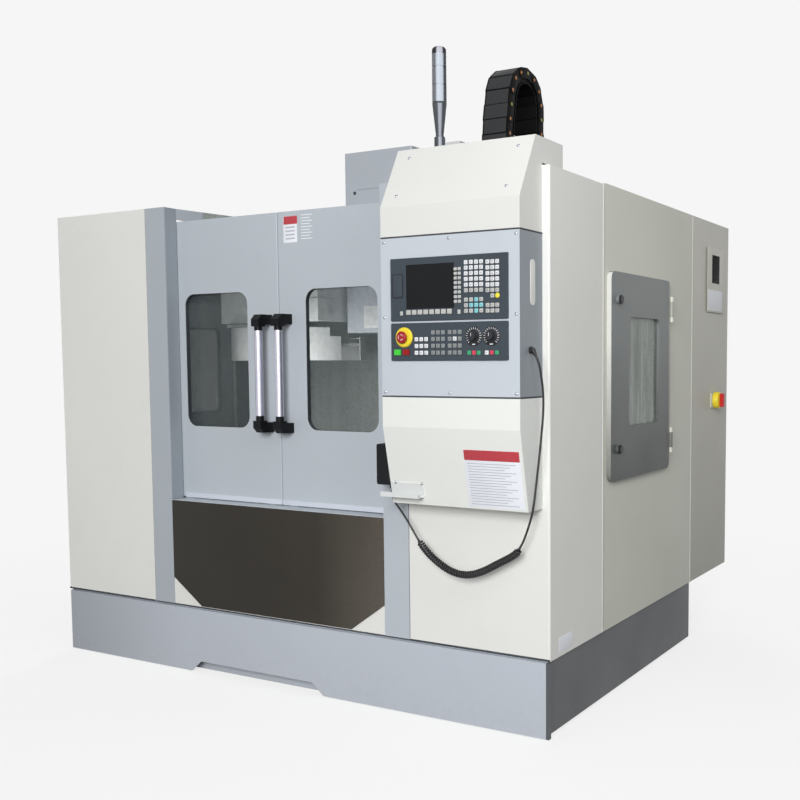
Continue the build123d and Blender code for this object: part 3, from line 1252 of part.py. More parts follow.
def make_table():
    """Slotted table with ribs below, carriages on the X rails and the nut of the X screw."""
    x0, x1 = SPINDLE_X - TABLE_LENGTH / 2, SPINDLE_X + TABLE_LENGTH / 2
    y0, y1 = SPINDLE_Y - TABLE_WIDTH / 2, SPINDLE_Y + TABLE_WIDTH / 2
    table = block((x0, x1), (y0, y1), (TABLE_TOP - TABLE_THICK, TABLE_TOP))
    for i in range(T_SLOTS):
        y = SPINDLE_Y + (i - (T_SLOTS - 1) / 2) * T_SLOT_PITCH
        table -= block(
            (x0 - 1, x1 + 1), (y - T_SLOT_WIDTH / 2, y + T_SLOT_WIDTH / 2),
            (TABLE_TOP - T_SLOT_DEPTH - 1, TABLE_TOP + 1),
        )
        table -= block(
            (x0 - 1, x1 + 1), (y - T_SLOT_HEAD / 2, y + T_SLOT_HEAD / 2),
            (TABLE_TOP - T_SLOT_DEPTH - T_SLOT_HEAD_DEPTH, TABLE_TOP - T_SLOT_DEPTH),
        )
    for offset in (-X_RAIL_OFFSET, X_RAIL_OFFSET):
        for x in (SPINDLE_X - 130, SPINDLE_X + 130):
            foot = carriage((x, SPINDLE_Y + offset, SADDLE_TOP), (1, 0, 0), (0, 1, 0), (0, 0, 1), 110)
            pad = block(
                (x - 55, x + 55), (SPINDLE_Y + offset - 35, SPINDLE_Y + offset + 35),
                (SADDLE_TOP + 52, TABLE_TOP - TABLE_THICK),
            )
            table += foot + pad
    nut = block(
        (SPINDLE_X - 50, SPINDLE_X + 50), (SPINDLE_Y - 40, SPINDLE_Y + 40),
        (X_SCREW_Z - 22, TABLE_TOP - TABLE_THICK),
    )
    nut -= rod((SPINDLE_X - 60, SPINDLE_Y, X_SCREW_Z), (1, 0, 0), SCREW_RADIUS + RUNNING_GAP, 120)
    return table + nut


def make_spindle_head():
    """Head casting with its nose, the plate with carriages on the column rails, nut and motor."""
    head = block((SPINDLE_X - 130, SPINDLE_X + 130), (SPINDLE_Y - 80, 1170), (NOSE_Z + 60, 1840))
    head = fillet(head.edges().filter_by(Axis.Z).group_by(Axis.Y)[0], 60)
    head += rod((SPINDLE_X, SPINDLE_Y, NOSE_Z + 6), (0, 0, 1), NOSE_RADIUS, 60)
    plate = block((SPINDLE_X - 205, SPINDLE_X + 205), (1150, COLUMN_FACE - 50), (NOSE_Z + 40, 1840))
    head += plate
    for offset in (-Z_RAIL_OFFSET, Z_RAIL_OFFSET):
        for z in (NOSE_Z + 110, 1760):
            head += carriage((SPINDLE_X + offset, COLUMN_FACE, z), (0, 0, 1), (1, 0, 0), (0, -1, 0), 110)
    nut_z = (1560, 1660)
    nut = block((SPINDLE_X - 45, SPINDLE_X + 45), (COLUMN_FACE - 60, Z_SCREW_Y + 30), nut_z)
    nut -= rod((SPINDLE_X, Z_SCREW_Y, nut_z[0] - 5), (0, 0, 1), SCREW_RADIUS + RUNNING_GAP, 110)
    head += nut
    head -= rod((SPINDLE_X, SPINDLE_Y, NOSE_Z), (0, 0, 1), SPINDLE_RADIUS + RUNNING_GAP, 500)
    head -= block((SPINDLE_X - 100, SPINDLE_X + 100), (SPINDLE_Y + 85, 1130), (NOSE_Z + 59, 1800))
    motor = rod((SPINDLE_X, 1010, 1840), (0, 0, 1), 95, 190)
    return [head, motor]


def make_head_cover():
    """Sheet cover of the head, open below and behind, with the arm that carries the chain."""
    half = HEAD_COVER_WIDTH / 2
    rear = 1150
    cover = block(
        (SPINDLE_X - half, SPINDLE_X + half), (HEAD_COVER_FRONT, rear),
        (HEAD_COVER_BOTTOM, HEAD_COVER_TOP),
    )
    cover = fillet(cover.edges().filter_by(Axis.Z).group_by(Axis.Y)[0], 8)
    cover -= block(
        (SPINDLE_X - half + SHEET, SPINDLE_X + half - SHEET), (HEAD_COVER_FRONT + SHEET, rear + 1),
        (HEAD_COVER_BOTTOM - 1, HEAD_COVER_TOP - SHEET),
    )
    shelf_z = (HEAD_COVER_BOTTOM, HEAD_COVER_BOTTOM + SHEET)
    shelf = block(
        (SPINDLE_X - half + SHEET, SPINDLE_X + half - SHEET), (HEAD_COVER_FRONT + SHEET, rear), shelf_z,
    )
    shelf -= rod((SPINDLE_X, SPINDLE_Y, HEAD_COVER_BOTTOM - 1), (0, 0, 1), NOSE_RADIUS + 1, 10)
    cover += shelf
    arm = block(
        (SPINDLE_X + half - 1, CHAIN_X[1]), (CHAIN_FRONT, CHAIN_FRONT + CHAIN_THICK),
        (CHAIN_HEAD_END - 12, CHAIN_HEAD_END),
    )
    cover += arm
    return cover


def make_spindle():
    """Spindle with its tapered socket, drawbar bore, nose flange and drive keys."""
    throat = TAPER_MOUTH_RADIUS - TAPER_RATE * TAPER_DEPTH
    profile = outline(
        (TAPER_MOUTH_RADIUS, 0), (SPINDLE_RADIUS, 0), (SPINDLE_RADIUS, 320), (30, 320), (30, 420), (
            DRAWBAR_RADIUS, 420,
        ),
        (DRAWBAR_RADIUS, TAPER_DEPTH + 20), (throat, TAPER_DEPTH + 20), (throat, TAPER_DEPTH),
    )
    body = Pos(SPINDLE_X, SPINDLE_Y, NOSE_Z) * revolve(Plane.XZ * profile, axis=Axis.Z)
    for side in (-1, 1):
        x = SPINDLE_X + side * 33
        body += block((x - 8, x + 8), (SPINDLE_Y - 8, SPINDLE_Y + 8), (NOSE_Z - 4, NOSE_Z + 1))
    return body


def make_column_bellows():
    """Folding cover over the column rails below the head."""
    x = (SPINDLE_X - 205, SPINDLE_X + 205)
    z0, z1 = 600.0, NOSE_Z + 39
    folds = 18
    pitch = (z1 - z0) / folds
    front, back = COLUMN_FACE - 57, COLUMN_FACE - RAIL_TALL
    points = [(back, z0), (back, z1)]
    for i in range(folds):
        top = z1 - i * pitch
        points += [(front + 8, top), (front, top - pitch / 2)]
    points.append((front + 8, z0))
    return side_plate(outline(*points), x[0], x[1] - x[0])


# Tool magazine


def make_magazine_bracket():
    """Arm from the column, the slide bars it carries, the sheet housing over them and its drive."""
    hanger_x = (HOUSING_RIGHT - 12, HOUSING_RIGHT - SHEET)
    arm = block((BRACKET_ARM_X[0], hanger_x[1]), (HOUSING_FRONT + 40, HOUSING_REAR - 60), BRACKET_ARM_Z)
    arm += block(BRACKET_ARM_X, (HOUSING_REAR - 61, COLUMN_FACE + 120), BRACKET_ARM_Z)
    arm += block(hanger_x, (HOUSING_FRONT + 40, HOUSING_REAR - 60), (SLIDE_BAR_Z - 20, BRACKET_ARM_Z[1]))
    bars = []
    for y in SLIDE_BARS_Y:
        start = (HOUSING_LEFT + SHEET, y, SLIDE_BAR_Z)
        bars.append(rod(start, (1, 0, 0), SLIDE_BAR_RADIUS, HOUSING_RIGHT - HOUSING_LEFT - 2 * SHEET))
    for bar in bars:
        arm -= bar
    housing = block(
        (HOUSING_LEFT, HOUSING_RIGHT), (HOUSING_FRONT, HOUSING_REAR), (HOUSING_BOTTOM, HOUSING_TOP),
    )
    housing = fillet(housing.edges().filter_by(Axis.Z).group_by(Axis.Y)[0], 8)
    housing -= block(
        (HOUSING_LEFT + SHEET, HOUSING_RIGHT - SHEET), (HOUSING_FRONT + SHEET, HOUSING_REAR + 1),
        (HOUSING_BOTTOM - 1, HOUSING_TOP - SHEET),
    )
    drive_x = (HOUSING_RIGHT - 50, HOUSING_RIGHT + 25)
    drive = block(drive_x, (HOUSING_FRONT - 70, HOUSING_FRONT), (HOUSING_BOTTOM, HOUSING_BOTTOM + 92))
    cap_x = (drive_x[0] + 6, drive_x[1] - 6)
    drive += block(cap_x, (HOUSING_FRONT - 64, HOUSING_FRONT), (HOUSING_BOTTOM + 92, HOUSING_BOTTOM + 125))
    return [arm, *bars, housing, drive]


def drum_sector(low, high, start, end, radius):
    """Wedge between two angles, used to cut the drum's rim."""
    steps = 6
    points = [(0, 0)]
    for i in range(steps + 1):
        angle = math.radians(start + (end - start) * i / steps)
        points.append((radius * math.cos(angle), radius * math.sin(angle)))
    return Pos(MAGAZINE_X, SPINDLE_Y, 0) * flat_plate(outline(*points), low, high - low)


def make_magazine_carriage():
    """Drum wall, the pan that closes it above on its post, and the plate that slides on the bars."""
    x, y = MAGAZINE_X, SPINDLE_Y
    notch = NOSE_RADIUS + DRUM_NOTCH_CLEARANCE
    inner = DRUM_RADIUS - DRUM_SHEET
    opening_y = (y - notch, y + notch)
    wall = rod((x, y, DRUM_BOTTOM), (0, 0, 1), DRUM_RADIUS, DRUM_TOP - DRUM_BOTTOM)
    wall -= rod((x, y, DRUM_BOTTOM - 1), (0, 0, 1), inner, DRUM_TOP - DRUM_BOTTOM + 2)
    wall -= drum_sector(DRUM_LOW_TOP, DRUM_TOP + 1, -24, 80, DRUM_RADIUS * 1.4)
    wall -= block((x + POCKET_RADIUS, x + DRUM_RADIUS + 10), opening_y, (DRUM_BOTTOM - 1, DRUM_TOP + 1))
    pan = rod((x, y, PAN_TOP - PAN_THICK), (0, 0, 1), inner, PAN_THICK)
    pan -= block(
        (x + POCKET_RADIUS - notch, x + DRUM_RADIUS), opening_y, (PAN_TOP - PAN_THICK - 1, PAN_TOP + 1),
    )
    pan += rod((x, y, PAN_TOP), (0, 0, 1), 60, CARRIAGE_BOTTOM - PAN_TOP)
    pan -= rod((x, y, PAN_TOP - PAN_THICK - 1), (0, 0, 1), SHAFT_RADIUS + RUNNING_GAP, 60)
    plate_y = (HOUSING_FRONT + 12, HOUSING_REAR - 60)
    plate = block((x - 240, x + 46), plate_y, (CARRIAGE_BOTTOM, CARRIAGE_BOTTOM + 14))
    plate -= rod((x, y, CARRIAGE_BOTTOM - 8), (0, 0, 1), SHAFT_RADIUS + RUNNING_GAP, 30)
    for bar_y in SLIDE_BARS_Y:
        for bx in (x - 200, x + 16):
            slider = block(
                (bx - 30, bx + 30), (bar_y - 30, bar_y + 30), (CARRIAGE_BOTTOM + 14, SLIDE_BAR_Z + 28),
            )
            slider -= rod((bx - 40, bar_y, SLIDE_BAR_Z), (1, 0, 0), SLIDE_BAR_RADIUS + RUNNING_GAP, 80)
            plate += slider
    plate += rod((x - 90, y, CARRIAGE_BOTTOM + 14), (0, 0, 1), 38, 56)
    return [wall, pan, plate]


def make_carousel():
    """Rotating disc on its shaft, with a ring of grippers bolted round it, each open outwards."""
    x, y = MAGAZINE_X, SPINDLE_Y
    low = GRIPPER_TOP - GRIPPER_THICK
    disc = rod((x, y, low), (0, 0, 1), GRIPPER_DISC_RADIUS, GRIPPER_THICK)
    disc += rod((x, y, low - 40), (0, 0, 1), 60, 41)
    disc += rod((x, y, GRIPPER_TOP - 1), (0, 0, 1), SHAFT_RADIUS, CARRIAGE_BOTTOM + 13 - GRIPPER_TOP)
    disc += rod((x, y, GRIPPER_TOP - 1), (0, 0, 1), 45, PAN_TOP - PAN_THICK - GRIPPER_TOP + 0.7)
    finger_out = POCKET_RADIUS + 22
    half = GRIPPER_WIDTH / 2
    solids = [disc]
    for i in range(POCKETS):
        angle = 360 * i / POCKETS
        finger = block((GRIPPER_DISC_RADIUS - 15, finger_out), (-half, half), (low + 2, GRIPPER_TOP - 2))
        finger -= rod((0, 0, low), (0, 0, 1), GRIPPER_DISC_RADIUS, GRIPPER_THICK)
        finger -= rod((POCKET_RADIUS, 0, low - 1), (0, 0, 1), TOOL_FLANGE_RADIUS, GRIPPER_THICK + 2)
        mouth = (-TOOL_FLANGE_RADIUS, TOOL_FLANGE_RADIUS)
        finger -= block((POCKET_RADIUS, finger_out + 1), mouth, (low - 1, GRIPPER_TOP + 1))
        solids.append(Pos(x, y, 0) * (Rot(0, 0, angle) * finger))
    return solids


# Cable chain


def chain_line(distance):
    """Place and direction on the loop's middle line, measured from its end on the head's arm."""
    radius = (CHAIN_REAR - CHAIN_FRONT - CHAIN_THICK) / 2
    middle = (CHAIN_REAR + CHAIN_FRONT) / 2
    turn_z = CHAIN_TOP - CHAIN_THICK / 2 - radius
    rise = turn_z - CHAIN_HEAD_END
    bend = math.pi * radius
    if distance <= rise:
        return middle - radius, CHAIN_HEAD_END + distance
    if distance >= rise + bend:
        return middle + radius, turn_z - (distance - rise - bend)
    angle = (distance - rise) / radius
    return middle - radius * math.cos(angle), turn_z + radius * math.sin(angle)


def make_cable_chain():
    """Chain of equal links from the head's arm over to the fixed bracket behind, hinged on through pins."""
    radius = (CHAIN_REAR - CHAIN_FRONT - CHAIN_THICK) / 2
    turn_z = CHAIN_TOP - CHAIN_THICK / 2 - radius
    length = (turn_z - CHAIN_HEAD_END) + math.pi * radius + (turn_z - CHAIN_FIXED_END)
    links = round(length / CHAIN_PITCH)
    joints = [chain_line(length * i / links) for i in range(links + 1)]
    inner_x = (CHAIN_X[0] + CHAIN_PIN_PROUD, CHAIN_X[1] - CHAIN_PIN_PROUD)
    width = inner_x[1] - inner_x[0]
    chain = []
    for i in range(links):
        (y0, z0), (y1, z1) = joints[i], joints[i + 1]
        span = math.hypot(y1 - y0, z1 - z0)
        tilt = math.degrees(math.atan2(z1 - z0, y1 - y0))
        start = 0 if i == 0 else CHAIN_LINK_GAP
        end = span if i == links - 1 else span - CHAIN_LINK_GAP
        link = Pos((start + end) / 2, 0) * Rectangle(end - start, CHAIN_THICK)
        chain.append(side_plate(Pos(y0, z0) * (Rot(0, 0, tilt) * link), inner_x[0], width))
    for y, z in joints[1:-1]:
        chain.append(rod((inner_x[0], y, z), (1, 0, 0), CHAIN_THICK / 2 - 3, width))
        chain.append(rod((CHAIN_X[0], y, z), (1, 0, 0), CHAIN_PIN_RADIUS, CHAIN_X[1] - CHAIN_X[0]))
    return chain[0].fuse(*chain[1:])


def main():
    os.makedirs("parts", exist_ok=True)
    left_door_x = (OPENING_LEFT - DOOR_OVERLAP, MEETING_X - DOOR_MEETING_GAP / 2)
    right_door_x = (MEETING_X + DOOR_MEETING_GAP / 2, OPENING_RIGHT + DOOR_OVERLAP)
    write("bed", make_bed())
    write("levelling_feet", *make_levelling_feet())
    write("column", make_column())
    write("linear_rails", *make_linear_rails())
    write("drive_motors", *make_drive_motors())
    write("plinth", *make_plinth())
    write("left_front_cover", make_left_front_cover())
    write("right_front_cover", make_right_front_cover())
    write("door_frame", *make_door_frame())
    write("apron_panel", make_apron_panel())
    write("lower_front_panel", make_lower_front_panel())
    hinges = side_hinges()
    write("side_panels", *make_side_panels(), *hinges, *[mirrored(hinge) for hinge in hinges])
    write("splash_guard", *make_splash_guard())
    write("electrical_cabinet", *make_electrical_cabinet())
    write("cabinet_hinges", *cabinet_hinges())
    write("cabinet_drives", *make_cabinet_drives())
    write("cabinet_door", make_cabinet_door())
    write("isolator_handle", make_isolator_handle())
    write("left_door", sliding_door(*left_door_x, LEFT_WINDOW))
    write("left_door_glass", door_glass(LEFT_WINDOW))
    write("left_door_handle", *door_handle(LEFT_HANDLE_X))
    write("right_door", sliding_door(*right_door_x, RIGHT_WINDOW))
    write("right_door_glass", door_glass(RIGHT_WINDOW))
    write("right_door_handle", *door_handle(RIGHT_HANDLE_X))
    right_side = side_door()
    write("right_side_door", *right_side)
    write("right_side_glass", side_glass())
    write("left_side_door", *[mirrored(piece) for piece in right_side])
    write("left_side_glass", mirrored(side_glass()))
    write("control_box", make_control_box())
    write("control_hood", make_control_hood())
    write("control_lower_box", make_control_lower_box())
    write("operator_unit", make_operator_unit())
    write("machine_panel", make_machine_panel())
    write("display_glass", make_display_glass())
    write("estop_collar", make_estop_collar())
    write("estop_button", make_estop_button())
    write("start_button", push_button(START_X))
    write("stop_button", push_button(STOP_X))
    write("feed_dial", override_dial(FEED_DIAL_X))
    write("spindle_dial", override_dial(SPINDLE_DIAL_X))
    write("pendant_tray", make_pendant_tray())
    write("pendant_body", make_pendant_body())
    write("pendant_dial", make_pendant_dial())
    write("cord_gland", make_cord_gland())
    upper_run = routed_tube(UPPER_ROUTE, CORD_RADIUS, "upper run")
    lower_run = routed_tube(LOWER_ROUTE, CORD_RADIUS, "lower run")
    write("pendant_cord", upper_run, routed_tube(CURL_ROUTE, CURL_RADIUS, "curl"), lower_run)
    write("signal_lamp_mount", make_signal_lamp_mount())
    write("signal_lamp_tube", make_signal_lamp_tube())
    write("saddle", *make_saddle())
    write("table", make_table())
    write("spindle_head", *make_spindle_head())
    write("head_cover", make_head_cover())
    write("spindle", make_spindle())
    write("column_bellows", make_column_bellows())
    write("x_screw", make_x_screw())
    write("y_screw", make_y_screw())
    write("z_screw", make_z_screw())
    write("magazine_bracket", *make_magazine_bracket())
    write("magazine_carriage", *make_magazine_carriage())
    write("carousel", *make_carousel())
    write("cable_chain", make_cable_chain())


if __name__ == "__main__":
    main()
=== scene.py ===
import math

import bpy
import numpy as np
from mathutils import Matrix, Vector


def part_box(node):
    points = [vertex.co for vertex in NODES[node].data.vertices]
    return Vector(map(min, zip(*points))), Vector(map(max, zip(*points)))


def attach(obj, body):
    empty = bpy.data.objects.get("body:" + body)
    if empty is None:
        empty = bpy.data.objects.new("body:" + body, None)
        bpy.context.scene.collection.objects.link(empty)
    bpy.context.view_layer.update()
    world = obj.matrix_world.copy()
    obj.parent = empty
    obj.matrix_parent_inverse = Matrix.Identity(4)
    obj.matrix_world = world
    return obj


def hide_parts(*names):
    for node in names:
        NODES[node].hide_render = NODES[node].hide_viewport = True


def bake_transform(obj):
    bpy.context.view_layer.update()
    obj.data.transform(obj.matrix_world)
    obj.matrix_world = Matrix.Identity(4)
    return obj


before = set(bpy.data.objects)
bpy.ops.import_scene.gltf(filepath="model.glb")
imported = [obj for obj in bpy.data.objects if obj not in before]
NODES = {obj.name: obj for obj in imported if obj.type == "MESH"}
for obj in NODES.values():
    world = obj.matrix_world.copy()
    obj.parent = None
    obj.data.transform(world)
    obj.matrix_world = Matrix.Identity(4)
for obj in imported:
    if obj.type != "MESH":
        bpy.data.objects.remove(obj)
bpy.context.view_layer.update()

# Drawing points are in millimetres: X from the guard's middle, Y from the front covers, Z from the floor.
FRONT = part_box("left_front_cover")[0].y


def at(*place):
    """Drawing points in the machine's own frame: a thousandth of each, in metres, with Y moved by FRONT."""
    return np.asarray(place, float).reshape(-1, 3) / 1000 + np.array([0.0, FRONT, 0.0])


def placed(name, data):
    """New object in the scene that holds the data."""
    thing = bpy.data.objects.new(name, data)
    bpy.context.scene.collection.objects.link(thing)
    return thing


# Camera: angles in radians, lens in millimetres, shifts as shares of the picture's width

CAMERA_PLACE = (2564.1217, -2858.4658, 1205.39)
CAMERA_TURN, CAMERA_TIP, CAMERA_ROLL = 0.50813721, 0.07476541, -0.00415264
CAMERA_LENS = 46.2755
CAMERA_SHIFT = (-0.13015, 0.04755)


def photograph_camera():
    """Camera at the photograph's place: turned about Z, tipped down, rolled a little, its picture shifted."""
    camera = placed("camera", bpy.data.cameras.new("camera"))
    turn = Matrix.Rotation(CAMERA_TURN, 4, "Z")
    tip = Matrix.Rotation(math.pi / 2 - CAMERA_TIP, 4, "X")
    roll = Matrix.Rotation(CAMERA_ROLL, 4, "Z")
    camera.matrix_world = Matrix.Translation(at(*CAMERA_PLACE)[0]) @ turn @ tip @ roll
    camera.data.lens = CAMERA_LENS
    camera.data.shift_x, camera.data.shift_y = CAMERA_SHIFT
    camera.data.clip_start = 0.05
    camera.data.clip_end = 200
    bpy.context.scene.camera = camera


photograph_camera()

# Surfaces. A shape is its points and its faces; faces are arrays, one for each number of corners.


def grid_faces(rows, columns):
    """Faces between the points of a grid counted row by row: each corner joins the next column and row."""
    r, c = np.meshgrid(np.arange(rows - 1), np.arange(columns), indexing="ij")
    below, above, beside = r * columns, (r + 1) * columns, (c + 1) % columns
    return np.stack([below + c, below + beside, above + beside, above + c], axis=-1).reshape(-1, 4)


def capped(rows):
    """Skin over rows of points: the grid's faces, with a flat face over the first row and the last."""
    count, around = rows.shape[:2]
    last = (count - 1) * around
    ends = np.stack([np.arange(around)[::-1], last + np.arange(around)])
    return rows.reshape(-1, 3), [grid_faces(count, around), ends]


def turned(profile, around=24):
    """Profile of radius and height turned about Z: x = r cos a, y = r sin a, z = h."""
    profile = np.asarray(profile, float)
    angle = np.linspace(0, 2 * np.pi, around, endpoint=False)
    ring = np.stack([np.cos(angle), np.sin(angle), np.zeros(around)], -1)
    rows = profile[:, None, :1] * ring[None]
    rows[..., 2] += profile[:, 1:2]
    return capped(rows)


def rounded_outline(width, height, corner, steps=5):
    """Rectangle with round corners: four quarter turns, each about its own corner's centre."""
    turn = np.linspace(0, np.pi / 2, steps)
    angle = (np.arange(4)[:, None] * np.pi / 2 + turn).ravel()
    side_x = np.repeat([1, -1, -1, 1], steps) * (width / 2 - corner)
    side_y = np.repeat([1, 1, -1, -1], steps) * (height / 2 - corner)
    return np.stack([side_x + corner * np.cos(angle), side_y + corner * np.sin(angle)], -1)


def tablet(width, height, thick, corner, edge, crown=0.0, steps=5):
    """Plate with round corners: it narrows over a quarter turn at its edge, then rises to a crown."""
    turn = np.linspace(0, np.pi / 2, 4)
    inset = [0.0, *(edge * (1 - np.cos(turn)))]
    rise = [0.0, *(thick - edge + edge * np.sin(turn))]
    if crown:
        share = np.array([0.4, 0.75])
        inset += list(edge + share * (min(width, height) / 2 - edge))
        rise += list(thick + crown * (1 - (1 - share) ** 2))
    rows = [
        np.column_stack([
            rounded_outline(width - 2 * i, height - 2 * i, max(corner - i, 0.02 * corner), steps),
            np.full(4 * steps, h),
        ])
        for i, h in zip(inset, rise)
    ]
    return capped(np.array(rows))


def carried(section, path, first, second):
    """Section carried along a path: path point + a * first + b * second for each section point (a, b)."""
    section = np.asarray(section, float)
    first, second = first[:, None], second[:, None]
    return capped(path[:, None] + section[None, :, :1] * first + section[None, :, 1:] * second)


def unit(rows):
    """Each row at a length of one."""
    return rows / np.linalg.norm(rows, axis=-1, keepdims=True)


def reached(line):
    """How far along a line each of its points lies."""
    return np.concatenate([[0], np.cumsum(np.linalg.norm(np.diff(line, axis=0), axis=1))])


def on_line(line, distance):
    """Points at given distances along a line, straight between its own points."""
    return np.stack([np.interp(distance, reached(line), column) for column in line.T], -1)


def circle(radius, around):
    """Points round a circle: r cos a, r sin a."""
    angle = np.linspace(0, 2 * np.pi, around, endpoint=False)
    return radius * np.stack([np.cos(angle), np.sin(angle)], -1)


def gathered(*shapes):
    """Several shapes as one: their points in a row, and their faces counted on."""
    points, faces, start = [], [], 0
    for shape_points, shape_faces in shapes:
        points.append(shape_points)
        faces += [face + start for face in shape_faces]
        start += len(shape_points)
    return np.concatenate(points), faces


def repeated(shape, places):
    """The same shape at many places: each place is its three directions and its origin, 4 by 3 numbers."""
    points, faces = shape
    places = np.asarray(places, float).reshape(-1, 4, 3)
    moved = np.einsum("kj,njc->nkc", points, places[:, :3]) + places[:, None, 3]
    shift = np.arange(len(places)) * len(points)
    return moved.reshape(-1, 3), [
        (face[None] + shift[:, None, None]).reshape(-1, face.shape[1]) for face in faces
    ]


def facing(right, up):
    """Directions of a plate: its width runs along right, its height along up, and it faces across both."""
    right, up = unit(np.asarray(right, float)), unit(np.asarray(up, float))
    return np.stack([right, up, np.cross(right, up)])


def spots(directions, points):
    """Places with the same directions at several drawing points."""
    points = at(*np.asarray(points, float).ravel()) if np.ndim(points) == 1 else at(points)
    rows = np.tile(directions[None], (len(points), 1, 1))
    return np.concatenate([rows, points[:, None]], axis=1)


def crossings(columns, rows, y):
    """Drawing points where columns and rows cross on the plane y."""
    x, z = np.meshgrid(columns, rows)
    return np.stack([x.ravel(), np.full(x.size, y), z.ravel()], -1)


TO_FRONT = facing((1, 0, 0), (0, 0, 1))
TO_RIGHT = facing((0, 1, 0), (0, 0, 1))
HOOD_SLOPE = facing((1, 0, 0), (0, 104, 196))
LOWER_BACK, LOWER_TALL = 53, 254
LOWER_SLOPE = facing((1, 0, 0), (0, -LOWER_BACK, LOWER_TALL))


def fronted(shape, points):
    """The same shape at drawing points, each facing the front."""
    return repeated(shape, spots(TO_FRONT, points))


def piece(name, shape, material, body="frame", smooth=40):
    """Puts a shape into the scene as one piece, smooth but for sharp edges, and lets it ride on its body."""
    points, faces = shape
    mesh = bpy.data.meshes.new(name)
    mesh.from_pydata(points.tolist(), [], [corners for group in faces for corners in group.tolist()])
    mesh.polygons.foreach_set("use_smooth", np.ones(len(mesh.polygons), bool))
    mesh.set_sharp_from_angle(angle=math.radians(smooth))
    mesh.materials.append(material)
    thing = placed(name, mesh)
    if body:
        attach(thing, body)
    return thing


# Finishes


def tone(red, green, blue):
    """Screen colour, 0 to 255, as the light it gives off."""
    value = np.array([red, green, blue]) / 255
    linear = np.where(value <= 0.04045, value / 12.92, ((value + 0.055) / 1.055) ** 2.4)
    return (*linear.tolist(), 1.0)


def shade(colour, factor):
    """The colour made lighter or darker by a factor."""
    return (*[min(1.0, c * factor) for c in colour[:3]], 1.0)


class Finish:
    """A material on the piece's own coordinates, with the few nodes that the finishes below share."""

    def __init__(self, name, roughness=0.5, metal=0.0):
        self.material = bpy.data.materials.new(name)
        self.material.use_nodes = True
        self.nodes = self.material.node_tree.nodes
        self.links = self.material.node_tree.links
        self.shader = self.nodes["Principled BSDF"]
        self.shader.inputs["Roughness"].default_value = roughness
        self.shader.inputs["Metallic"].default_value = metal
        self.place = self.nodes.new("ShaderNodeTexCoord").outputs["Object"]

    def add(self, kind, source=None, socket="Vector", **values):
        """New node with some inputs set, and a source linked to one of them."""
        node = self.nodes.new(f"ShaderNode{kind}")
        for name, value in values.items():
            node.inputs[name].default_value = value
        if source is not None:
            self.links.new(source, node.inputs[socket])
        return node

    def stretched(self, scale):
        """The piece's coordinates, each axis times its scale."""
        return self.add("Mapping", self.place, Scale=scale).outputs["Vector"]

    def noise(self, scale, detail=3.0, roughness=0.55, where=None):
        """Soft random values on the piece's coordinates, or on those given."""
        place = where or self.place
        return self.add("TexNoise", place, Scale=scale, Detail=detail, Roughness=roughness).outputs["Fac"]

    def ramp(self, factor, *stops):
        """Colour by a factor, between stops that are a position and a colour each."""
        node = self.add("ValToRGB", factor, "Fac")
        elements = node.color_ramp.elements
        while len(elements) < len(stops):
            elements.new(0.5)
        for element, (position, colour) in zip(elements, sorted(stops, key=lambda stop: stop[0])):
            element.position = position
            element.color = colour
        return node.outputs["Color"]

    def grey(self, factor, *stops):
        """Plain value by a factor, between stops that are a position and a value each."""
        return self.ramp(factor, *[(position, (value, value, value, 1.0)) for position, value in stops])

    def feed(self, sockets, values):
        """Links each value that is a socket, and sets the others."""
        for socket, value in zip(sockets, values):
            if isinstance(value, bpy.types.NodeSocket):
                self.links.new(value, socket)
            else:
                socket.default_value = value

    def maths(self, operation, *values):
        """The result of one operation on sockets or numbers."""
        node = self.add("Math")
        node.operation = operation
        self.feed(node.inputs, values)
        return node.outputs[0]

    def blend(self, factor, first, second, how="MIX"):
        """Two colours laid over each other by a factor."""
        node = self.add("Mix")
        node.data_type = "RGBA"
        node.blend_type = how
        self.feed([node.inputs[i] for i in (0, 6, 7)], (factor, first, second))
        return node.outputs[2]

    def axis(self, letter):
        """The piece's coordinate along one axis, in metres."""
        return self.add("SeparateXYZ", self.place).outputs[letter]

    def between(self, value, low, high):
        """1 where the value lies between two limits, else 0."""
        above = self.maths("GREATER_THAN", value, low)
        below = self.maths("LESS_THAN", value, high)
        return self.maths("MULTIPLY", above, below)

    def inside(self, limits):
        """1 where every axis named in the limits lies between its two places, else 0."""
        share = None
        for letter, (low, high) in limits.items():
            here = self.between(self.axis(letter), low, high)
            share = here if share is None else self.maths("MULTIPLY", share, here)
        return share

    def relief(self, height, strength, distance):
        """Small bumps on the surface, from a height."""
        bump = self.add("Bump", height, "Height", Strength=strength, Distance=distance)
        self.links.new(bump.outputs["Normal"], self.shader.inputs["Normal"])

    def colour(self, source):
        self.links.new(source, self.shader.inputs["Base Color"])

    def roughness(self, source):
        self.links.new(source, self.shader.inputs["Roughness"])

    def gloss(self, level):
        self.shader.inputs["Specular IOR Level"].default_value = level


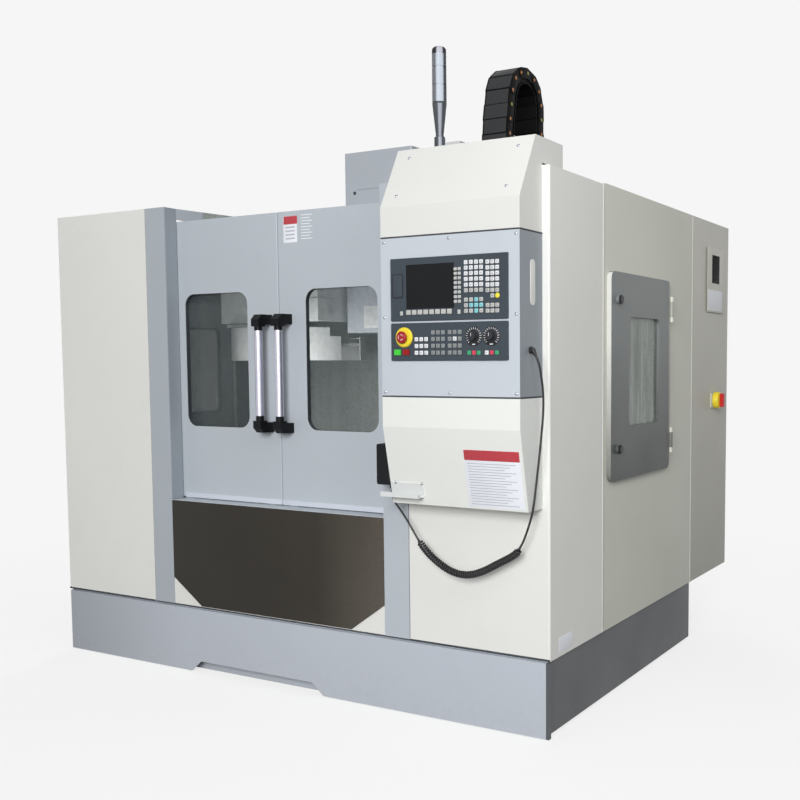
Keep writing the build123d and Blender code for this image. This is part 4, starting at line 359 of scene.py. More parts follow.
def sheet_paint(name, colour, roughness=0.42, drift=0.03, peel=0.1, dust=0.0, fade=None, places=()):
    """Baked paint on sheet metal: a faint drift of tone, an orange-peel skin, and dust near the floor.

    Places take another colour inside their limits; on some pieces that colour is painted shade on one face.
    A fade is painted shade that darkens the paint along an axis: its letter, where it starts, how far it
    runs, and the share of the colour left at its start.
    """
    f = Finish(name, roughness)
    base = f.ramp(f.noise(0.9, 2.0), (0.3, shade(colour, 1 - drift)), (0.7, shade(colour, 1 + drift)))
    for limits, other in places:
        base = f.blend(f.inside(limits), base, other)
    handled = f.grey(f.noise(5.5, 5.0, 0.6), (0.55, 1.0), (0.8, 0.97))
    base = f.blend(1.0, base, handled, "MULTIPLY")
    # The fade is painted shade: the paint darker towards one end of an axis.
    if fade:
        letter, start, width, least = fade
        share = f.maths("DIVIDE", f.maths("SUBTRACT", f.axis(letter), start), width)
        base = f.blend(1.0, base, f.grey(share, (0.0, least), (1.0, 1.0)), "MULTIPLY")
    if dust:
        low = f.grey(f.axis("Z"), (0.0, 1.0), (0.22, 0.0))
        specks = f.grey(f.noise(38.0, 6.0, 0.7), (0.42, 0.0), (0.68, 1.0))
        share = f.maths("MULTIPLY", f.maths("MULTIPLY", low, specks), dust)
        base = f.blend(share, base, tone(150, 144, 132))
    f.colour(base)
    f.gloss(0.3)
    f.roughness(f.grey(f.noise(3.0, 4.0), (0.35, roughness - 0.05), (0.7, roughness + 0.06)))
    f.relief(f.noise(430.0, 2.0), peel, 0.0004)
    return f.material


def glossy_dark_paint():
    """Brown-black gloss paint of the apron: metal flake, faint wiping marks, and a painted reflection that
    makes it paler towards its right edge.
    """
    f = Finish("apron_gloss_paint", 0.3)
    flake = f.ramp(f.noise(900.0, 2.0), (0.35, tone(46, 43, 38)), (0.72, tone(62, 58, 52)))
    cloud = f.grey(f.noise(2.2, 4.0, 0.6), (0.3, 0.88), (0.72, 1.12))
    # Painted reflection: the colour grows paler towards the apron's right edge.
    painted_sheen = f.grey(f.axis("X"), (0.0, 0.92), (0.2, 1.05), (0.5, 2.8))
    base = f.blend(1.0, flake, cloud, "MULTIPLY")
    brighter = f.add("VectorMath", base, 0)
    brighter.operation = "SCALE"
    f.links.new(painted_sheen, brighter.inputs["Scale"])
    f.colour(brighter.outputs[0])
    smudge = f.noise(14.0, 4.0, 0.65, f.stretched((1.0, 1.0, 0.18)))
    f.roughness(f.grey(smudge, (0.3, 0.33), (0.75, 0.4)))
    f.gloss(0.18)
    f.relief(f.noise(260.0, 2.0), 0.06, 0.0004)
    return f.material


def casting_paint(name, colour):
    """Thick paint over a sand casting: lumps a few millimetres wide and dark pits."""
    f = Finish(name, 0.5)
    pits = f.grey(f.noise(60.0, 6.0, 0.65), (0.3, 0.8), (0.6, 1.0))
    cloud = f.ramp(f.noise(3.0, 4.0), (0.3, shade(colour, 0.9)), (0.7, shade(colour, 1.08)))
    f.colour(f.blend(1.0, cloud, pits, "MULTIPLY"))
    f.relief(f.noise(140.0, 5.0, 0.6), 0.35, 0.0012)
    return f.material


def inner_wall_paint(name, colour, places=()):
    """Grey paint inside the guard, with dried coolant runs and dark chips stuck to it."""
    f = Finish(name, 0.4)
    runs = f.noise(16.0, 5.0, 0.6, f.stretched((1.0, 1.0, 0.12)))
    stained = f.ramp(runs, (0.34, shade(colour, 0.8)), (0.62, colour))
    chips = f.grey(f.noise(75.0, 3.0, 0.7), (0.33, 0.4), (0.4, 1.0))
    base = f.blend(1.0, stained, chips, "MULTIPLY")
    for limits, other in places:
        base = f.blend(f.inside(limits), base, other)
    f.colour(base)
    f.gloss(0.3)
    f.relief(f.noise(320.0, 3.0), 0.12, 0.0005)
    return f.material


def ground_steel(name, colour, along=(1.0, 1.0, 1.0), roughness=0.32):
    """Bright steel with grinding lines along one direction: noise stretched that way, in tone and relief."""
    f = Finish(name, roughness, 0.9)
    lines = f.noise(220.0, 4.0, 0.7, f.stretched(along))
    f.colour(f.ramp(lines, (0.3, shade(colour, 0.8)), (0.7, shade(colour, 1.08))))
    f.roughness(f.grey(f.noise(9.0, 3.0), (0.3, roughness - 0.07), (0.7, roughness + 0.1)))
    f.relief(lines, 0.08, 0.0002)
    return f.material


def moulded(name, colour, roughness=0.5, grain=900.0, relief=0.18, specular=0.35):
    """Moulded plastic with a fine spark-eroded grain."""
    f = Finish(name, roughness)
    f.colour(f.ramp(f.noise(2.5, 3.0), (0.3, shade(colour, 0.93)), (0.7, shade(colour, 1.06))))
    f.roughness(f.grey(f.noise(7.0, 4.0), (0.3, max(0.05, roughness - 0.06)), (0.7, roughness + 0.08)))
    f.gloss(specular)
    f.relief(f.noise(grain, 2.0), relief, 0.0003)
    return f.material


def polished(name, colour, roughness=0.12):
    """Polished metal with faint smears in its gloss."""
    f = Finish(name, roughness, 1.0)
    f.colour(f.ramp(f.noise(30.0, 3.0), (0.3, shade(colour, 0.94)), (0.7, colour)))
    f.roughness(f.grey(f.noise(45.0, 4.0), (0.35, roughness), (0.75, roughness + 0.14)))
    return f.material


# Signal lamp: its middle in drawing millimetres, the turn of its painted highlight bands, and heights in
# metres
LAMP_PLACE = (675.0, 100.0)
LAMP_TURN = 0.94
LAMP_FOOT, LAMP_JOINT, LAMP_CAP = 1.9, 2.063, 2.222


def lamp_painted_chrome():
    """Silver lamp in painted light: pale bands up it are painted highlights and the greys between painted
    shade, with a dark ring at its joint and a cap banded with painted reflections.
    """
    f = Finish("lamp_painted_chrome", 0.3)
    x = f.maths("SUBTRACT", f.axis("X"), LAMP_PLACE[0] / 1000)
    y = f.maths("SUBTRACT", f.axis("Y"), LAMP_PLACE[1] / 1000 + FRONT)
    angle = f.maths("ADD", f.maths("ARCTAN2", y, x), LAMP_TURN)
    height = f.axis("Z")
    # Painted highlights in bands round the lamp, and painted shade on one flank.
    band = f.maths("COSINE", f.maths("MULTIPLY", angle, 2.0))
    side = f.maths("MULTIPLY_ADD", f.maths("SINE", angle), 0.5, 0.5)
    flank = f.ramp(side, (0.1, tone(118, 121, 128)), (0.9, tone(66, 71, 75)))
    tube = f.blend(f.grey(band, (0.3, 0.0), (0.62, 1.0)), flank, tone(189, 197, 208))
    # The mount below the joint gets a narrower painted highlight streak, broken by rubbed greys.
    streak = f.blend(f.grey(band, (0.72, 0.0), (0.93, 1.0)), tone(62, 66, 71), tone(162, 169, 180))
    rubbed = f.noise(45.0, 4.0, 0.7, f.stretched((1.0, 1.0, 0.1)))
    painted_sheen = f.blend(f.grey(rubbed, (0.4, 0.0), (0.7, 0.5)), streak, tone(120, 124, 130))
    colour = f.blend(f.between(height, LAMP_FOOT, LAMP_JOINT), tube, painted_sheen)
    ring = f.between(height, LAMP_JOINT - 0.004, LAMP_JOINT + 0.003)
    colour = f.blend(ring, colour, tone(70, 74, 80))
    # The cap's light and dark bands are painted reflections.
    cap = f.blend(f.grey(band, (0.45, 0.0), (0.8, 1.0)), tone(40, 38, 46), tone(184, 186, 196))
    f.colour(f.blend(f.maths("GREATER_THAN", height, LAMP_CAP), colour, cap))
    f.gloss(0.15)
    ribs = f.maths("SINE", f.maths("MULTIPLY", height, 2600.0))
    f.relief(ribs, 0.06, 0.0003)
    return f.material


# Heights in metres between which a door handle's tube shows
HANDLE_TUBE = (1.008, 1.32)


def handle_finish():
    """Door handle: black moulded caps at both ends, brushed aluminium tube between them."""
    f = Finish("door_handle_finish", 0.36)
    middle = f.between(f.axis("Z"), *HANDLE_TUBE)
    brushed = f.noise(240.0, 3.0, 0.6, f.stretched((1.0, 1.0, 0.03)))
    metal = f.ramp(brushed, (0.3, tone(178, 178, 190)), (0.7, tone(214, 214, 226)))
    f.colour(f.blend(middle, tone(20, 21, 24), metal))
    f.gloss(0.12)
    f.links.new(middle, f.shader.inputs["Metallic"])
    f.relief(f.noise(700.0, 2.0), 0.1, 0.0003)
    return f.material


def window_pane(name, tint, strength, streaks=0.0):
    """Clear tinted pane with a film of dried drops, or of runs down it where the streaks are set."""
    f = Finish(name, 0.06)
    film = f.noise(26.0, 5.0, 0.7, f.stretched((1.0, 1.0, 0.12)) if streaks else None)
    f.colour(f.ramp(film, (0.35, shade(tint, 1 - 0.6 * streaks)), (0.72, shade(tint, 1.25 + streaks))))
    cover = f.grey(f.noise(40.0, 5.0, 0.7), (0.4, strength), (0.78, strength + 0.1))
    f.links.new(cover, f.shader.inputs["Alpha"])
    f.gloss(0.7)
    return f.material


def display_pane():
    """Dark display under anti-glare glass, with a faint cloud in its tone and gloss."""
    f = Finish("display_dark", 0.28)
    f.colour(f.ramp(f.noise(3.0, 2.0), (0.3, tone(24, 25, 27)), (0.7, tone(29, 30, 32))))
    f.gloss(0.12)
    f.roughness(f.grey(f.noise(60.0, 2.0), (0.3, 0.26), (0.7, 0.33)))
    return f.material


def sheath():
    """Matt black cord sheath with a little dust in its grain."""
    f = Finish("cord_sheath", 0.48)
    f.colour(f.ramp(f.noise(120.0, 4.0), (0.35, tone(16, 16, 18)), (0.72, tone(36, 36, 39))))
    f.relief(f.noise(800.0, 3.0), 0.15, 0.0002)
    return f.material


def folded_cloth():
    """Coated cloth of the folding cover: dark, with uneven wear, and a woven skin."""
    f = Finish("folding_cover_cloth", 0.62)
    weave = f.add("TexWave", f.place, Scale=260.0)
    f.colour(f.ramp(f.noise(24.0, 4.0), (0.3, tone(32, 33, 36)), (0.75, tone(58, 60, 64))))
    f.relief(weave.outputs["Fac"], 0.15, 0.0003)
    return f.material


def plain_card(name, colour):
    """Card left bare, a little uneven in tone."""
    f = Finish(name, 0.38)
    f.colour(f.ramp(f.noise(16.0, 4.0), (0.3, shade(colour, 0.94)), (0.7, colour)))
    f.relief(f.noise(500.0, 2.0), 0.05, 0.0002)
    return f.material


# Paints by piece. Limits of places are in metres, and FAR lies past the machine on every side.

BEIGE = tone(231, 231, 227)
GREY = tone(186, 193, 200)
SLATE = tone(126, 130, 130)
DARK_INSIDE = tone(62, 64, 67)
DARK_EDGE = tone(56, 60, 64)
LATCH_BLACK = tone(34, 35, 38)
FAR = 9.0


def deep(low=-FAR, high=FAR):
    """Limits along Y in metres, counted from the front covers."""
    return low + FRONT, high + FRONT


covers = sheet_paint("cover_paint", BEIGE, 0.4)
# Side panels: a darker copy of the covers' beige, painted shade on the machine's side, and a painted-shade
# fade darker towards the floor.
panel_paint = sheet_paint("side_panel_paint", tone(219, 220, 208), 0.4, fade=("Z", 0.25, 1.3, 0.88), places=[
    ({"X": (-1.1338, 1.1338), "Y": deep(high=1.53), "Z": (-FAR, 1.74)}, DARK_INSIDE),
])
hood_paint = sheet_paint("hood_paint", tone(223, 224, 220), 0.38)
lower_box_paint = sheet_paint("lower_box_paint", tone(232, 234, 230), 0.38)
door_paint = sheet_paint("door_paint", GREY, 0.34, places=[
    ({"Y": deep(0.066, 0.2), "Z": (0.93, 1.49), "X": limits}, DARK_EDGE)
    for limits in ((-0.51, -0.14), (0.095, 0.46))
])
# Door frame: the left post is painted darker, and its inner side darker still, as painted shade.
frame_paint = sheet_paint("door_frame_paint", GREY, 0.34, places=[
    ({"X": (-FAR, -0.5)}, tone(173, 180, 187)),
    ({"X": (-0.62, -0.5), "Y": deep(0.004)}, tone(152, 159, 167)),
])
# Cabinet: its side face is a darker beige and the paint darkens towards the floor, both painted shade.
cabinet_paint = sheet_paint("cabinet_paint", BEIGE, 0.4, fade=("Z", 0.25, 1.3, 0.64), places=[
    ({"X": (1.1345, FAR)}, tone(214, 213, 203)),
])
# Door lips: pale as a painted highlight along each sliding door's foot.
highlight_lip_paint = sheet_paint("highlight_lip_paint", tone(206, 212, 222), 0.36)
strip_paint = sheet_paint("strip_paint", tone(206, 206, 200), 0.4)
motor_paint = sheet_paint("motor_paint", tone(46, 47, 50), 0.45, places=[
    ({"Z": (2.0, FAR)}, tone(222, 224, 225)),
])
# Plinth: the dust near the floor is real; the front growing darker towards the left and the dark grey side
# face are painted shade.
plinth_paint = sheet_paint(
    "plinth_paint", tone(190, 196, 205), 0.42, dust=0.1, fade=("X", -1.13, 0.7, 0.72),
    places=[({"X": (1.1245, FAR)}, tone(86, 89, 93))],
)
# Station box: its side face is painted darker, a painted shade.
box_paint = sheet_paint("station_box_paint", tone(196, 203, 211), 0.36, places=[
    ({"X": (1.1095, FAR)}, tone(140, 147, 154)),
])
# Side doors: the paint darkens towards the floor as painted shade; the pale front edge, pale rear band and
# black latches are colours of their own.
slate_paint = sheet_paint("side_door_paint", SLATE, 0.4, fade=("Z", 0.78, 0.5, 0.28), places=[
    ({"X": (-1.152, 1.152), "Y": deep(high=0.455)}, tone(214, 214, 210)),
    ({"Y": deep(1.011)}, tone(172, 173, 165)),
    ({"X": (1.164, FAR), "Y": deep(high=0.53)}, LATCH_BLACK),
    ({"X": (-FAR, -1.164), "Y": deep(high=0.53)}, LATCH_BLACK),
])
inner_paint = inner_wall_paint("inner_wall_paint", tone(176, 182, 178), places=[
    ({"Z": (1.752, FAR), "Y": deep(high=0.2), "X": (-1.2, -0.42)}, GREY),
    ({"Z": (1.752, FAR), "Y": deep(high=0.2), "X": (-0.42, 1.2)}, BEIGE),
])
white_paint = sheet_paint("housing_paint", tone(214, 217, 216), 0.4)
casting = casting_paint("casting_paint", tone(150, 158, 164))
head_casting = casting_paint("head_casting_paint", tone(92, 97, 102))
apron = glossy_dark_paint()
rail_steel = ground_steel("rail_steel", tone(190, 192, 196), (1.0, 0.05, 0.05))
table_iron = ground_steel("table_iron", tone(150, 150, 148), (0.06, 1.0, 1.0), 0.4)
screw_steel = ground_steel("screw_steel", tone(196, 197, 200), (1.0, 1.0, 0.3), 0.22)
spindle_steel = ground_steel("spindle_steel", tone(176, 178, 182), (1.0, 1.0, 0.1), 0.25)
fastener = polished("fastener_metal", tone(176, 178, 184), 0.24)
feet_iron = casting_paint("feet_iron", tone(62, 63, 66))
unit_plastic = moulded("unit_plastic", tone(61, 69, 77), 0.5, specular=0.25)
button_black = moulded("dial_plastic", tone(34, 35, 38), 0.42)
knob_grey = moulded("knob_plastic", tone(48, 50, 55), 0.5, specular=0.2)
safety_yellow = moulded("safety_yellow", tone(240, 218, 56), 0.36, 700.0, 0.06)
stop_red = moulded("stop_red", tone(160, 30, 36), 0.32, 700.0, 0.06)
switch_red = moulded("switch_red", tone(196, 34, 30), 0.4, 700.0, 0.06)
start_green = moulded("start_green", tone(66, 205, 58), 0.34, 700.0, 0.06)
button_red = moulded("button_red", tone(150, 12, 16), 0.34, 700.0, 0.06)
drive_plastic = moulded("drive_plastic", tone(188, 188, 182), 0.5)
tray_paint = sheet_paint("tray_paint", tone(218, 221, 220), 0.34)
pendant_plastic = moulded("pendant_plastic", tone(24, 25, 28), 0.5, specular=0.15)
chain_nylon = moulded("chain_nylon", tone(60, 61, 62), 0.45, 600.0, 0.1, 0.1)
chain_dark = moulded("chain_nylon_dark", tone(13, 13, 14), 0.5, 600.0, 0.1, 0.06)
pin_amber = moulded("pin_nylon", tone(186, 120, 62), 0.4)
pin_lime = moulded("pin_nylon_green", tone(150, 152, 62), 0.4)
seal_rubber = moulded("seal_rubber", tone(30, 31, 33), 0.6, specular=0.1)
seam_dark = moulded("seam_shadow", tone(72, 76, 80), 0.7, relief=0.05, specular=0.1)
seam_light = moulded("seam_grey", tone(146, 152, 158), 0.6, relief=0.05, specular=0.1)
grille_black = moulded("grille_black", tone(18, 18, 19), 0.6, relief=0.1, specular=0.1)
pane = window_pane("door_pane", tone(92, 104, 106), 0.16)
side_pane = window_pane("side_door_pane", tone(132, 142, 134), 0.6, 0.7)
far_pane = window_pane("far_door_pane", tone(66, 70, 72), 0.75, 1.0)
lamp = lamp_painted_chrome()
bellows_cloth = folded_cloth()

# The pendant's cord, in three stretches: hanging, curled, hanging. Its sizes are in metres.

UPPER_ROUTE = [
    (1129, -83, 1222.41), (1139, -83, 1205.09), (1142, -72, 1164), (1145, -64, 1112), (1143.5, -60, 1062),
    (1140.5, -60, 1018), (1136, -60, 975), (1130.5, -60, 923), (1127, -66, 871), (1122, -72, 808),
    (1117.5, -80, 744), (1092, -68, 682), (1071, -60, 640), (1060, -60, 622),
]
CURL_ROUTE = [
    (1060, -60, 622), (1049, -60, 604), (1020, -60, 586), (980, -60, 565), (925, -60, 534), (867, -60, 516),
    (808, -60, 522), (752, -60, 551), (714, -60, 580), (690, -60, 606), (681, -60, 617),
]
LOWER_ROUTE = [
    (681, -60, 617), (672, -60, 628), (640, -60, 675), (613, -60, 709), (590, -60, 733), (576, -60, 760),
    (576, -60, 784),
]
CORD_DIAMETER = 0.007
CURL_OUTSIDE = 0.025
CURL_PITCH = 0.0088
CURL_SWELL = 0.014
CURL_STEPS = 20
UPPER_STEPS, LOWER_STEPS = 90, 44
DIRECTION_REACH = 0.003


def smooth_line(route):
    """Points of a NURBS spline with the route as its control points."""
    data = bpy.data.curves.new("cord_route", "CURVE")
    data.dimensions = "3D"
    spline = data.splines.new("NURBS")
    spline.points.add(len(route) - 1)
    spline.points.foreach_set("co", np.column_stack([route, np.ones(len(route))]).ravel())
    spline.order_u = 3
    spline.use_endpoint_u = True
    spline.resolution_u = 32
    holder = bpy.data.objects.new("cord_route", data)
    mesh = bpy.data.meshes.new_from_object(holder)
    line = np.empty(len(mesh.vertices) * 3)
    mesh.vertices.foreach_get("co", line)
    bpy.data.objects.remove(holder)
    bpy.data.meshes.remove(mesh)
    bpy.data.curves.remove(data)
    return line.reshape(-1, 3)


def pendant_cord():
    """Tube round a helix: route + r (cos p n + sin p b), p a turn each pitch, r swelling at both ends."""
    route = at(UPPER_ROUTE + CURL_ROUTE[1:] + LOWER_ROUTE[1:])
    line = smooth_line(route)
    run = reached(line)
    start, end = [run[np.linalg.norm(line - at(CURL_ROUTE[i]), axis=1).argmin()] for i in (0, -1)]
    turns = round((end - start) / CURL_PITCH)
    s = np.concatenate([
        np.linspace(0, start, UPPER_STEPS, endpoint=False),
        np.linspace(start, end, turns * CURL_STEPS, endpoint=False),
        np.linspace(end, run[-1], LOWER_STEPS),
    ])
    ahead, behind = on_line(line, s + DIRECTION_REACH), on_line(line, s - DIRECTION_REACH)
    along = unit(ahead - behind)
    aside = unit(np.array([0.0, 1.0, 0.0]) - along * along[:, 1:2])
    across = np.cross(along, aside)
    share = np.clip((s - start) / (end - start), 0, 1)
    swell = np.clip(np.minimum(s - start, end - s) / CURL_SWELL, 0, 1)
    reach = (CURL_OUTSIDE - CORD_DIAMETER) / 2 * swell**2 * (3 - 2 * swell)
    phase = 2 * np.pi * turns * share
    outward = np.cos(phase)[:, None] * aside + np.sin(phase)[:, None] * across
    path = on_line(line, s) + reach[:, None] * outward
    forward = unit(np.gradient(path, axis=0))
    first = unit(outward - forward * (outward * forward).sum(1, keepdims=True))
    shape = carried(circle(CORD_DIAMETER / 2, 10), path, first, np.cross(forward, first))
    cord = piece("curly_cord", shape, sheath(), smooth=60)
    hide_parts("pendant_cord")


pendant_cord()

# Finishes of the machine's own pieces

FINISHES = (
    (casting, "bed column saddle"), (feet_iron, "levelling_feet"), (rail_steel, "linear_rails"),
    (motor_paint, "drive_motors"), (plinth_paint, "plinth"),
    (covers, "left_front_cover right_front_cover lower_front_panel cabinet_door cabinet_hinges"),
    (frame_paint, "door_frame"), (apron, "apron_panel"), (panel_paint, "side_panels"),
    (inner_paint, "splash_guard"), (cabinet_paint, "electrical_cabinet"), (drive_plastic, "cabinet_drives"),
    (switch_red, "isolator_handle"), (door_paint, "left_door right_door"),
    (pane, "left_door_glass right_door_glass"), (handle_finish(), "left_door_handle right_door_handle"),
    (slate_paint, "right_side_door left_side_door"), (side_pane, "right_side_glass"),
    (far_pane, "left_side_glass"), (box_paint, "control_box"), (hood_paint, "control_hood"),
    (lower_box_paint, "control_lower_box"), (unit_plastic, "operator_unit machine_panel"),
    (display_pane(), "display_glass"), (safety_yellow, "estop_collar"), (stop_red, "estop_button"),
    (start_green, "start_button"), (button_red, "stop_button"), (knob_grey, "feed_dial spindle_dial"),
    (tray_paint, "pendant_tray"), (pendant_plastic, "pendant_body"),
    (button_black, "pendant_dial cord_gland"), (seal_rubber, "pendant_cord"),
    (lamp, "signal_lamp_mount signal_lamp_tube"), (table_iron, "table"), (head_casting, "spindle_head"),
    (sheet_paint("head_cover_paint", tone(176, 182, 189), 0.36), "head_cover"), (spindle_steel, "spindle"),
    (bellows_cloth, "column_bellows"), (screw_steel, "x_screw y_screw z_screw"),
    (white_paint, "magazine_bracket magazine_carriage carousel"), (chain_nylon, "cable_chain"),
)


def finish_node(held, material):
    """Gives one finish to a node of the frame, in each of its slots where it has any."""
    for slot in held.material_slots:
        slot.material = material
    if not held.material_slots:
        held.data.materials.append(material)


for material, names in FINISHES:
    for node in names.split():
        finish_node(NODES[node], material)

# Operator's station: middles of the keys' columns and rows, and the planes its pieces stand on

BOX_Y = -148.0
PANEL_Y = -153.0
KEY_TOP = PANEL_Y - 1.6
LEGEND_Y = KEY_TOP - 1.25
LETTER_X, LETTER_Z = (927.0, 945.2, 963.5, 981.0), (1420.8, 1437.6, 1454.8, 1472.0, 1489.0, 1505.5)
NUMBER_X, NUMBER_Z = (1003.3, 1020.0, 1036.6), (1418.5, 1435.0, 1452.0, 1469.3, 1486.3, 1503.5)
ARROW_Z, EDIT_Z = (1358.5, 1375.5, 1392.4), (1357.0, 1373.8)
EDGE_X, EDGE_Z = (889.5, 903.6), (1388.4, 1402.6, 1416.8, 1431.0, 1445.2, 1459.4, 1473.4, 1487.2)
SOFT_X = (715.0, 736.7, 758.4, 780.1, 801.8, 823.5, 845.2, 867.0)
PANEL_Z = (1232.2, 1253.4, 1274.6, 1295.0)
LEFT_X, MIDDLE_X, RIGHT_X = (744.2, 762.4, 780.6), (806.0, 824.4, 842.8), (867.4, 885.6, 903.8)
WHITE_ABOVE = 1430
FOOT_Z, SHIFT_Z = 1231.0, 1402.0
DIAL_X, DIAL_Z = (953.0, 1015.0), 1281.0
STOP_X = 698.0


def key_cap(width, height):
    """Cap of a key, a little crowned, from its width and height in millimetres."""
    return tablet(width / 1000, height / 1000, 0.0009, 0.0018, 0.0005, 0.0005, 3)


def key_legend(count):
    """Generic mark on a key cap: one or two thin bars."""
    bar = tablet(0.0052, 0.0013, 0.0002, 0.0004, 0.00008, 0, 2)
    if count == 1:
        return bar
    return repeated(bar, [[(1, 0, 0), (0, 1, 0), (0, 0, 1), (0, up, 0)] for up in (0.0024, -0.0018)])


def station_keys():
    """Coloured caps on the raised keys, with plain bars for their legends."""
    white, warm, dim, cyan, yellow, green, rose, ink = [
        moulded(f"key_{name}", tone(*colour), roughness, relief=relief)
        for name, colour, roughness, relief in (
            ("white", (226, 227, 230), 0.45, 0.05), ("warm_grey", (186, 187, 184), 0.45, 0.05),
            ("dim", (136, 140, 140), 0.5, 0.05), ("cyan", (136, 205, 212), 0.45, 0.05),
            ("yellow", (238, 224, 70), 0.4, 0.05), ("green", (62, 158, 112), 0.42, 0.05),
            ("rose", (206, 70, 92), 0.42, 0.05), ("ink", (92, 94, 100), 0.5, 0.02),
        )
    ]
    cap, side_cap, soft_cap = key_cap(13.3, 12.4), key_cap(11.4, 9.4), key_cap(17.4, 14.8)
    arrows = crossings(LETTER_X, ARROW_Z, KEY_TOP)
    in_column = np.abs(arrows[:, 0] - LETTER_X[2]) < 1
    in_row = (np.abs(arrows[:, 2] - ARROW_Z[1]) < 1) & (arrows[:, 0] > LETTER_X[0] + 1)
    lit = in_column | in_row
    letters = crossings(LETTER_X, LETTER_Z, KEY_TOP)
    numbers = crossings(NUMBER_X, NUMBER_Z, KEY_TOP)
    upper = np.concatenate([rows[rows[:, 2] > WHITE_ABOVE] for rows in (letters, numbers)])
    lower = np.concatenate([
        *[rows[rows[:, 2] < WHITE_ABOVE] for rows in (letters, numbers)], arrows[~lit],
        crossings(NUMBER_X, EDIT_Z, KEY_TOP), [[1020.0, KEY_TOP, SHIFT_Z]],
    ])
    panel = np.concatenate([crossings(LEFT_X, PANEL_Z[:3], KEY_TOP), [[999.4, KEY_TOP, FOOT_Z]]])
    plain = np.concatenate([crossings(columns, PANEL_Z, KEY_TOP) for columns in (MIDDLE_X, RIGHT_X)])
    bright = (np.abs(plain[:, 0] - RIGHT_X[1]) < 1) & (np.abs(plain[:, 2] - PANEL_Z[2]) < 1)
    small = key_cap(13.3, 12.8)
    piece("keys_white", gathered(
        fronted(cap, upper), fronted(small, panel), fronted(small, plain[bright]),
    ), white)
    piece("keys_grey", gathered(
        fronted(cap, lower), fronted(side_cap, crossings(EDGE_X, EDGE_Z, KEY_TOP)),
        fronted(soft_cap, crossings(SOFT_X, (1359.0,), KEY_TOP)),
        fronted(key_cap(10.8, 13.2), crossings((688.7, 902.0), (1356.5,), KEY_TOP)),
    ), warm)
    piece("keys_dim", fronted(small, plain[~bright]), dim)
    piece("keys_cyan", fronted(cap, arrows[lit]), cyan)
    round_cap = tablet(0.0155, 0.0155, 0.001, 0.0075, 0.0005, 0.0005)
    piece("key_yellow", fronted(round_cap, (1037.5, KEY_TOP, SHIFT_Z)), yellow)
    piece("keys_green", fronted(small, crossings((937.6, 971.2, 1034.8), (FOOT_Z,), KEY_TOP)), green)
    piece("keys_rose", fronted(small, crossings((954.4, 1017.0), (FOOT_Z,), KEY_TOP)), rose)
    marks = np.concatenate([upper, lower, arrows[lit], panel, plain])
    marks[:, 1] = LEGEND_Y
    odd = np.arange(len(marks)) % 3 == 0
    piece("key_legends", gathered(
        fronted(key_legend(1), marks[~odd]), fronted(key_legend(2), marks[odd]),
    ), ink)


def dial_scales():
    """Black scale discs with white ticks round both dials, a bar below, and a pointer on each knob."""
    black = moulded("scale_black", tone(26, 27, 30), 0.4, relief=0.03)
    paint = moulded("scale_white", tone(214, 216, 220), 0.45, relief=0.03)
    centres = np.array([[x, PANEL_Y - 0.8, DIAL_Z] for x in DIAL_X])
    disc = turned([(0.0001, 0.0004), (0.0296, 0.0004), (0.0299, 0.0002), (0.0299, 0.0)][::-1], 48)
    piece("dial_discs", fronted(disc, centres), black)
    angle = np.radians(np.linspace(-45, 225, 17))
    out = np.stack([np.cos(angle), np.zeros_like(angle), np.sin(angle)], -1)
    across = np.stack([np.sin(angle), np.zeros_like(angle), -np.cos(angle)], -1)
    away = np.tile([0.0, -1.0, 0.0], (len(angle), 1))
    proud, ring = np.array([0.0, -0.4, 0.0]), 24.5
    ticks = np.concatenate([
        np.stack([across, out, away, at(centre + ring * out + proud)], axis=1) for centre in centres
    ])
    piece("dial_ticks", gathered(
        repeated(tablet(0.0017, 0.0066, 0.0003, 0.0004, 0.0001, 0, 2), ticks),
        fronted(tablet(0.011, 0.0036, 0.0003, 0.0006, 0.0001, 0, 3), centres + np.array([0, -0.4, -ring])),
    ), paint)
    pointer = tablet(0.0016, 0.0105, 0.0003, 0.0004, 0.0001, 0, 2)
    for kind, x in zip(("feed", "spindle"), DIAL_X):
        place = (x, PANEL_Y - 18.0, DIAL_Z + 5.0)
        piece(f"{kind}_pointer", fronted(pointer, place), paint, f"{kind}_override")


def turning_arrows():
    """Three bent arrows on the emergency stop: an arc carried round its face, with a flat head at its end."""
    paint = moulded("arrow_paint", tone(226, 208, 206), 0.4, relief=0.03)
    steps, tail, tip, spread = 12, 8, 12.2, 2.1
    half, thick, radius = 0.0011, 0.0002, 0.0085
    section = [(-half, thick), (half, thick), (half, -thick), (-half, -thick)]
    count = np.arange(steps)
    width = np.where(count < tail, 1.0, (tip - count) / spread)
    up = np.tile([0.0, 0.0, 1.0], (steps, 1))
    shapes = []
    for start in np.radians((20, 140, 260)):
        angle = start + np.linspace(0, np.radians(72), steps)
        radial = np.stack([np.cos(angle), np.sin(angle), np.zeros(steps)], -1)
        shapes.append(carried(section, radius * radial, radial * width[:, None], up))
    place = (STOP_X, PANEL_Y - 22.0, DIAL_Z)
    piece("stop_arrows", fronted(gathered(*shapes), place), paint, "emergency_stop")


# Fasteners


def button_screw(radius=0.0055, tall=0.0032):
    """Domed head: its radius falls along a quarter turn, with a round dimple for its recess."""
    turn = np.linspace(0, np.pi / 2, 6)[:-1]
    dome = [(radius * math.cos(t), tall * math.sin(t)) for t in turn]
    dimple = [(radius * 0.36, tall * 0.99), (radius * 0.3, tall * 0.45), (radius * 0.02, tall * 0.4)]
    return turned([(radius, 0.0), *dome[1:], *dimple], 16)


